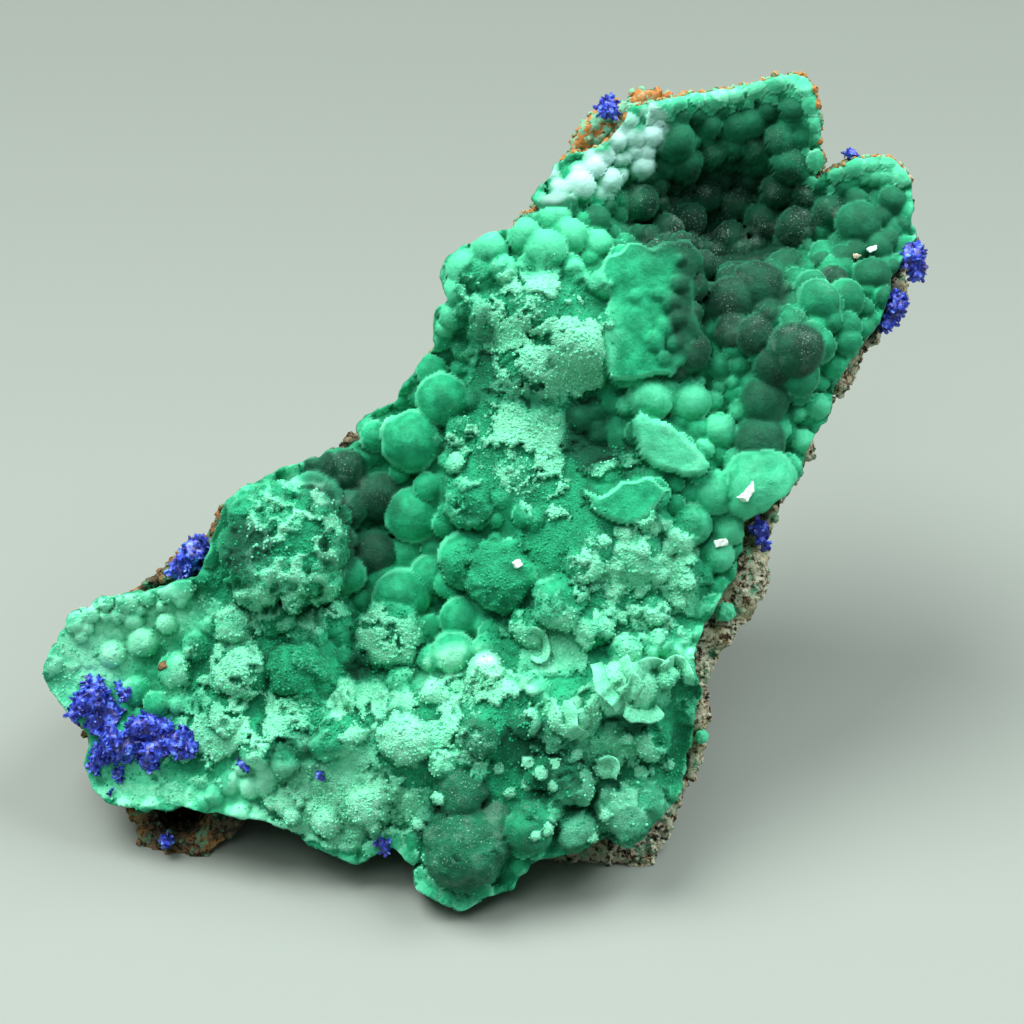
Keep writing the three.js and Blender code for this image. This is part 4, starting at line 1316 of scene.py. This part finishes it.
def scatter_tree(name, tilt_most, spin_most):
    """A tree that scatters one object's copies over a surface where its share allows."""
    tree = bpy.data.node_groups.new(name, "GeometryNodeTree")
    for socket, kind in SCATTER_INPUTS.items():
        tree.interface.new_socket(socket, in_out="INPUT", socket_type="NodeSocket" + kind)
    tree.interface.new_socket("Geometry", in_out="OUTPUT", socket_type="NodeSocketGeometry")

    def add(kind, **settings):
        node = tree.nodes.new(kind)
        for key, value in settings.items():
            setattr(node, key, value)
        return node

    given = add("NodeGroupInput").outputs
    result = add("NodeGroupOutput").inputs
    scatter = add("GeometryNodeDistributePointsOnFaces")
    share = add("GeometryNodeInputNamedAttribute", data_type="FLOAT")
    share.inputs["Name"].default_value = "share"
    amount = add("ShaderNodeMath", operation="MULTIPLY")
    copy = add("GeometryNodeObjectInfo")
    place = add("GeometryNodeInstanceOnPoints")
    size = add("FunctionNodeRandomValue")
    tilt = add("FunctionNodeRandomValue", data_type="FLOAT_VECTOR")
    tilt.inputs[0].default_value = (-tilt_most, -tilt_most, -spin_most)
    tilt.inputs[1].default_value = (tilt_most, tilt_most, spin_most)
    turn = add("FunctionNodeRotateRotation", rotation_space="LOCAL")
    real = add("GeometryNodeRealizeInstances")
    dress = add("GeometryNodeSetMaterial")
    for source, target in (
        (given["Density"], amount.inputs[0]),
        (share.outputs[0], amount.inputs[1]),
        (given["Geometry"], scatter.inputs["Mesh"]),
        (amount.outputs[0], scatter.inputs["Density"]),
        (given["Seed"], scatter.inputs["Seed"]),
        (given["Copy"], copy.inputs["Object"]),
        (scatter.outputs["Points"], place.inputs["Points"]),
        (copy.outputs["Geometry"], place.inputs["Instance"]),
        (given["Smallest"], size.inputs[2]),
        (given["Largest"], size.inputs[3]),
        (given["Seed"], size.inputs["Seed"]),
        (size.outputs[1], place.inputs["Scale"]),
        (scatter.outputs["Rotation"], turn.inputs["Rotation"]),
        (tilt.outputs[0], turn.inputs["Rotate By"]),
        (turn.outputs[0], place.inputs["Rotation"]),
        (place.outputs["Instances"], real.inputs["Geometry"]),
        (real.outputs["Geometry"], dress.inputs["Geometry"]),
        (given["Finish"], dress.inputs["Material"]),
        (dress.outputs["Geometry"], result["Geometry"]),
    ):
        tree.links.new(source, target)
    return tree


def scattered(name, surface, tree, copy, density, sizes, seed, finish):
    """Runs the tree on a surface and keeps the result as a plain mesh."""
    piece = linked(name, surface)
    modifier = piece.modifiers.new("scatter", "NODES")
    modifier.node_group = tree
    sockets = {s.name: s.identifier for s in tree.interface.items_tree if s.in_out == "INPUT"}
    settings = {
        "Copy": copy, "Density": density, "Smallest": sizes[0], "Largest": sizes[1],
        "Seed": seed, "Finish": finish.material,
    }
    for key, value in settings.items():
        modifier[sockets[key]] = value
    apply_modifiers(piece)
    piece.data.name = name
    return piece


# %% [markdown]
# ## The large azurite patch
#
# The large cluster lies on the crust like a thin broken mat. It is cut from the
# same relief map: where the blotches reach, a slab follows the crust with lumps
# on top, and its underside is sunk out of sight.

# %% The large azurite patch, laid on the crust's relief
BLOTCHES = [
    (-49.7, -21.2, 1.3, 1, 1), (-52, -23.2, 1.3, 1.3, 1), (-49, -23.5, 1.8, 2.1, 1),
    (-49.3, -25.8, 1.4, 1.3, 1), (-47.5, -28.3, 2.8, 2.1, 1), (-43.5, -26.7, 2.8, 2.5, 1),
    (-39.4, -27.4, 1.6, 1.2, 1), (-43.8, -29.8, 1.2, 1.2, 1), (-49.9, -29.5, 1, 1.6, 1),
    (-47.3, -31.5, .6, .6, 1), (-46.4, -21.2, .6, .6, 1),
]


def slab(name, cells_in, top, bottom):
    """A closed piece between two fields, over the given grid cells."""
    kept, picked = squares(cells_in)
    count = len(kept)
    spots = [stand(A.ravel()[kept], B.ravel()[kept], field.ravel()[kept]) for field in (top, bottom)]
    sides = {(int(f[k]), int(f[(k + 1) % 4])) for f in picked for k in range(4)}
    wall = [(b, a, a + count, b + count) for a, b in sides if (b, a) not in sides]
    faces = [*picked.tolist(), *(picked[:, ::-1] + count).tolist(), *wall]
    return mesh_piece(name, np.vstack(spots), faces)


spread = zone(BLOTCHES, A, B) + 0.35 * fractal(A, B, 1.7, 4, 71)
amount = smooth(0.42, 0.9, spread)
cells_in = (spread > 0.45)[:-1, :-1] & cells
lumpy_top = height + 0.12 + amount * (0.35 + 0.5 * domes(A, B, 1.1, 72) + 0.2 * domes(A, B, 0.6, 73))
patch = slab("azurite_patch_body", cells_in, lumpy_top, height - 0.7)

# %% [markdown]
# ## Sprays on every cluster
#
# The other clusters start from their CAD lumps, remeshed and roughened. Blades
# then cover every cluster, the large one included. The lump under the blades
# keeps the cluster solid when one looks between them.

# %% Sprays of blades on every cluster
AZURITE_NODES = sorted(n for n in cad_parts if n.startswith("azurite"))
blade = linked("blade", blade_mesh())
spray = scatter_tree("crystal_spray", 1.0, math.pi)
BLADES_PER_M2 = 2.4e6
BLADE_SIZES = (0.0003, 0.0008)
CLUSTER_VOXEL = 0.00035
CLUSTER_NOISE = 0.0005
CLUSTER_SHRINK = 0.0002
CLUSTER_LOWEST = 0.0002
for number, node in enumerate(AZURITE_NODES):
    if node == "azurite_patch":
        body_piece = patch
    else:
        body_piece = merged_copy(node, node + "_body")
        remeshed(body_piece, CLUSTER_VOXEL)
        places = places_of(body_piece)
        push = np.array([noise.noise(Vector(p * 900)) for p in places])
        places = places + normals_of(body_piece) * (CLUSTER_NOISE * push - CLUSTER_SHRINK)[:, None]
        places[:, 2] = np.maximum(places[:, 2], CLUSTER_LOWEST)
        put(body_piece, places)
    give(body_piece, "share", np.ones(len(body_piece.data.vertices)))
    blades = scattered(
        node + "_blades", body_piece.data, spray, blade, BLADES_PER_M2, BLADE_SIZES, number, azurite
    )
    finished(body_piece, azurite, "azurite", node)
    finished(blades, azurite, "azurite")
bpy.data.objects.remove(blade)
print("azurite clusters:", len(AZURITE_NODES))

# %% [markdown]
# ## Grains
#
# Rough malachite and the matrix are sugary: thousands of grains a fraction of a
# millimetre across. The same scattering tree lays them, with a twenty-sided
# grain, because nobody can count the sides of something that small. The share
# stored on the surface says where they may lie.

# %% Grains on the crust and the matrix
def grain_mesh():
    """A twenty-sided grain one unit across."""
    golden = (1 + 5 ** 0.5) / 2
    corners = [(0, a, b * golden) for a in (-1, 1) for b in (-1, 1)]
    corners += [(a, b * golden, 0) for a in (-1, 1) for b in (-1, 1)]
    corners += [(b * golden, 0, a) for a in (-1, 1) for b in (-1, 1)]
    rng = np.random.default_rng(8)
    corners = np.array(corners, float) * rng.uniform(0.85, 1.15, (12, 1)) / 3.8
    shape = bmesh.new()
    for corner in corners:
        shape.verts.new(corner)
    bmesh.ops.convex_hull(shape, input=shape.verts)
    mesh = bpy.data.meshes.new("grain")
    shape.to_mesh(mesh)
    shape.free()
    return mesh


def grain_finish(name, deep_colour, light_colour, roughness, gloss):
    """A plain finish between two colours, for grains."""
    finish = Finish(name)
    finish.set(Base_Color=finish.mix(finish.noise(500), deep_colour, light_colour), Roughness=roughness)
    finish.set(Specular_IOR_Level=gloss)
    return finish


GRAIN_SIDES = 20
grain = linked("grain", grain_mesh())
cover_tree = scatter_tree("grain_cover", 1.5, math.pi)


def strewn(name, surface, density, sizes, seed, finish, slot_name):
    """Grains over a surface, finished and counted."""
    piece = scattered(name, surface.data, cover_tree, grain, density, sizes, seed, finish)
    finished(piece, finish, slot_name)
    print(name, len(piece.data.polygons) // GRAIN_SIDES)
    return piece


mint_grain = grain_finish("mint_grain", JADE, MINT, 0.7, 0.15)
green_grain = grain_finish("green_grain", EMERALD, BRIGHT, 0.6, 0.2)
on_mint = rough * smooth(0.3, 0.75, pale) * (1 - frost)
on_green = rough * (1 - smooth(0.2, 0.6, pale)) * (1 - dark) * (1 - frost)
front_share = np.zeros(len(all_points))
# Densities are in grains per square metre, and sizes are in metres.
for name, field, density, sizes, seed, finish in (
    ("mint_grains", on_mint, 2.8e6, (0.00022, 0.00046), 1, mint_grain),
    ("green_grains", on_green, 2.6e6, (0.00022, 0.00042), 2, green_grain),
):
    front_share[:n_front] = field.ravel()[used]
    give(crust, "share", front_share)
    strewn(name, crust, density, sizes, seed, finish, "malachite")
give(matrix, "share", 1 - hollow)
matrix_grains = strewn("matrix_grains", matrix, 0.50e6, (0.0005, 0.0013), 3, limonite, "limonite")
low = places_of(matrix_grains)
low[:, 2] = np.maximum(low[:, 2], 0.0)
put(matrix_grains, low)
crumbly = np.zeros(len(all_points))
broken = all_points[n_front:]
crumbly[n_front:] = smooth(37, 41, broken[:, 1]) * (broken[:, 0] > 6) * (broken[:, 2] < 12)
give(crust, "share", crumbly)
strewn("rim_crumbs", crust, 1.6e6, (0.0005, 0.0012), 4, limonite, "limonite")
bpy.data.objects.remove(grain)

# %% [markdown]
# ## Curls
#
# Here and there malachite grew as thin curled plates that stand up from the
# crust, the palest parts of the whole stone. Each is a line on the face, swept
# with a thin rounded section and a little waviness.

# %% Curls: line on the face, height, lean to the left or right
CURLS = [
    ([(10.6, -17.4), (11, -19.2), (12, -20.8), (13.2, -22)], 2.2, -0.75),
    ([(12.2, -17.2), (13, -18.6), (13.6, -20), (13.4, -21.6)], 1.7, 0.7),
    ([(13.2, -22.4), (14.6, -22.9), (15.8, -23.2), (16.8, -22.4)], 1.8, -0.8),
    ([(14.2, -21), (15, -19.4), (16.2, -18.2), (17.6, -18.8)], 1.9, 0.8),
    ([(17.6, -18.6), (19, -17.9), (20.2, -18.8), (20, -20)], 1.5, 0.7),
    ([(5.8, -21.8), (6.1, -23.5), (6.8, -25.4), (8, -26.8)], 1.6, 0.8),
    ([(7.6, -21.2), (8.3, -22.8), (8.5, -24.6)], 1.3, -0.7),
    ([(2, -13.8), (3.5, -14.5), (3.9, -15.8), (3.2, -17), (2.2, -16.8)], 1.4, 0.35),
    ([(-20.2, -20.8), (-20, -22), (-19.4, -23.2)], 1.7, 0.4),
    ([(9.9, -29.4), (11, -29), (11.8, -29.8), (11.4, -30.8)], 1.2, 0.6),
]
CURL_STEPS = 22
CURL_SIDES = 10
CURL_THICK = 0.75
CURL_ROOT = 0.5
CURL_WAVE = 0.2


def spline(points, steps):
    """A smooth line through the points."""
    padded = np.vstack((2 * points[0] - points[1], points, 2 * points[-1] - points[-2]))
    line = []
    for t in np.linspace(0, len(points) - 1 - 1e-6, steps):
        k = int(t)
        u = t - k
        p0, p1, p2, p3 = padded[k:k + 4]
        line.append(0.5 * (2 * p1 + (p2 - p0) * u + (2 * p0 - 5 * p1 + 4 * p2 - p3) * u ** 2
                           + (3 * p1 - p0 - 3 * p2 + p3) * u ** 3))
    return np.array(line)


# %% [markdown]
# ## Sweeping the curls
#
# A ring of points travels along each line. Its upper side leans out and waves,
# its lower side is rooted in the crust, and it tapers towards both ends.

# %% Swept curls
curl_places = []
curl_faces = []
for number, (line, tall, lean) in enumerate(CURLS):
    path = spline(np.array(line, float), CURL_STEPS)
    run = np.gradient(path, axis=0)
    side = np.stack((-run[:, 1], run[:, 0]), 1) / np.linalg.norm(run, axis=1)[:, None]
    foot = at(height, path[:, 0], path[:, 1])
    start = len(curl_places)
    for k in range(CURL_STEPS):
        end_taper = 0.35 + 0.65 * math.sin(math.pi * (k + 0.5) / CURL_STEPS) ** 0.5
        for turn in np.linspace(0, 2 * math.pi, CURL_SIDES, endpoint=False):
            wide = 0.5 * CURL_THICK * math.cos(turn) * end_taper
            high = 0.5 + 0.5 * math.sin(turn)
            wave = CURL_WAVE * math.sin(0.5 * k + number) * high
            off = side[k] * (wide + (lean * high ** 1.5) * tall + wave)
            rise = foot[k] - CURL_ROOT + (tall * end_taper + CURL_ROOT) * high
            curl_places.append((*(path[k] + off), rise))
    for k in range(CURL_STEPS - 1):
        for m in range(CURL_SIDES):
            a, b = start + k * CURL_SIDES + m, start + k * CURL_SIDES + (m + 1) % CURL_SIDES
            curl_faces.append((a, b, b + CURL_SIDES, a + CURL_SIDES))
    curl_faces.append([start + m for m in range(CURL_SIDES)][::-1])
    curl_faces.append([start + (CURL_STEPS - 1) * CURL_SIDES + m for m in range(CURL_SIDES)])
curl_places = np.array(curl_places)
curls = mesh_piece("curls", stand(*curl_places.T), curl_faces)
shape = bmesh.new()
shape.from_mesh(curls.data)
bmesh.ops.recalc_face_normals(shape, faces=shape.faces)
shape.to_mesh(curls.data)
shape.free()
CURL_TONES = {"pale": 0.72, "rough": 0.6, "cover": 0.8}
for name, value in CURL_TONES.items():
    give(curls, name, np.full(len(curl_places), value))
finished(curls, malachite, "malachite")

# %% [markdown]
# ## Small pieces
#
# The beads, crumbs and chips start from their CAD shapes, remeshed finely and
# roughened by a hair. The crust's fine relief stands a little proud of the CAD
# crust, so the crumbs and chips that lie on it are raised until they show.

# %% Beads, crumbs and chips
calcite = Finish("pale_calcite")
calcite.set(Base_Color=rgb(0.72, 0.90, 0.82), Roughness=0.35, Specular_IOR_Level=0.5)
calcite.set(Normal=calcite.bump(calcite.noise(2500), 0.00015, 0.4))
SMALL_FINISH = {"malachite_bead": (malachite, "malachite"), "limonite_crumb": (limonite, "limonite"),
                "calcite_chip": (calcite, "calcite")}
MOST_RAISED = 3.0
SMALL_VOXEL = 0.00012
SMALL_NOISE = 0.00012
for node in sorted(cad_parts):
    for start, (finish, slot_name) in SMALL_FINISH.items():
        if node.startswith(start):
            piece = merged_copy(node, node + "_piece")
            remeshed(piece, SMALL_VOXEL)
            places = places_of(piece)
            push = np.array([noise.noise(Vector(p * 2500)) for p in places])
            places = places + normals_of(piece) * (SMALL_NOISE * push)[:, None]
            across_now, up_now, out_now = on_face(places)
            ground = float(at(height, across_now.mean(), up_now.mean()))
            sunk = ground - (0.7 * out_now.min() + 0.3 * out_now.max())
            print(node, "sunk by", round(sunk, 2), "mm")
            if start != "malachite_bead":
                places = places + OUT * (min(max(sunk, 0), MOST_RAISED) * MM)
            put(piece, places)
            give(piece, "pale", np.full(len(places), 0.5))
            finished(piece, finish, slot_name, node)

# %% [markdown]
# ## Camera
#
# The camera looks down at 35 degrees, square on to the leaning face, with a
# long lens from a third of a metre away, as for a catalogue of minerals.

# %% Camera
CAMERA_AWAY = 335
LENS = 100
camera_data = bpy.data.cameras.new("camera")
camera_data.lens = LENS
camera_data.sensor_width = 36
camera = linked("camera", camera_data)
camera.location = stand(0.0, 0.0, float(CAMERA_AWAY))
camera.rotation_euler = (math.radians(90) - FACE_LEAN, 0, 0)
bpy.context.scene.camera = camera

# %% [markdown]
# ## Floor
#
# A plain sheet of pale grey-green paper, painted a little darker further away as painted shade.

# %% Floor
FLOOR_HALF = 3.0
FLOOR_CORNERS = [(-1, -1, 0), (1, -1, 0), (1, 1, 0), (-1, 1, 0)]
floor = linked("floor", mesh_of("floor", FLOOR_HALF * np.array(FLOOR_CORNERS), [(0, 1, 2, 3)]))
paper = Finish("paper")
along = paper.add("ShaderNodeSeparateXYZ")
paper.link(paper.place, along.inputs[0])
# Painted shade: the paper darkens further away, for the light falling off.
further = paper.span(along.outputs["Y"], -0.12, 0.25)
PAPER_NEAR = rgb(0.240, 0.273, 0.247)
PAPER_FAR = rgb(0.172, 0.198, 0.177)
paper.set(Base_Color=paper.mix(further, PAPER_NEAR, PAPER_FAR), Roughness=0.85, Specular_IOR_Level=0.1)
floor.data.materials.append(paper.material)

# %% [markdown]
# ## Light
#
# One large soft light stands at the upper left, with two weaker ones at the
# right and in front. The sky is dim near the horizon and brighter overhead, so
# hollows stay dark while tops catch a soft glow.

# %% Lights
def area_light(name, place, size, power, colour):
    """A round soft light that looks at the middle of the stone."""
    data = bpy.data.lights.new(name, "AREA")
    data.shape = "DISK"
    data.size = size
    data.energy = power
    data.color = colour
    light = linked(name, data)
    light.location = place
    light.rotation_euler = (MIDDLE - Vector(place)).to_track_quat("-Z", "Y").to_euler()


MIDDLE = Vector((0.0, 0.0, 0.035))
WARM = (1.0, 0.99, 0.97)
COOL = (0.97, 0.99, 1.0)
# Each light: its name, its place in metres, its width, its power in watts and its colour.
area_light("key", (-0.36, 0.08, 0.84), 0.65, 14.6, WARM)
area_light("fill", (0.55, 0.10, 0.72), 0.6, 9.3, COOL)
area_light("front", (-0.18, -0.56, 0.96), 0.5, 2.9, COOL)
world = bpy.data.worlds.new("studio")
world.use_nodes = True
sky = world.node_tree
background = sky.nodes["Background"]
direction = sky.nodes.new("ShaderNodeTexCoord")
split = sky.nodes.new("ShaderNodeSeparateXYZ")
rise = sky.nodes.new("ShaderNodeMapRange")
sky.links.new(direction.outputs["Generated"], split.inputs[0])
sky.links.new(split.outputs["Z"], rise.inputs["Value"])
SKY_LOW, SKY_HIGH = 0.04, 0.42
rise.inputs["To Min"].default_value = SKY_LOW
rise.inputs["To Max"].default_value = SKY_HIGH
sky.links.new(rise.outputs["Result"], background.inputs["Strength"])
background.inputs["Color"].default_value = rgb(0.92, 1.0, 0.95)
bpy.context.scene.world = world
bpy.context.scene.view_settings.view_transform = "Standard"
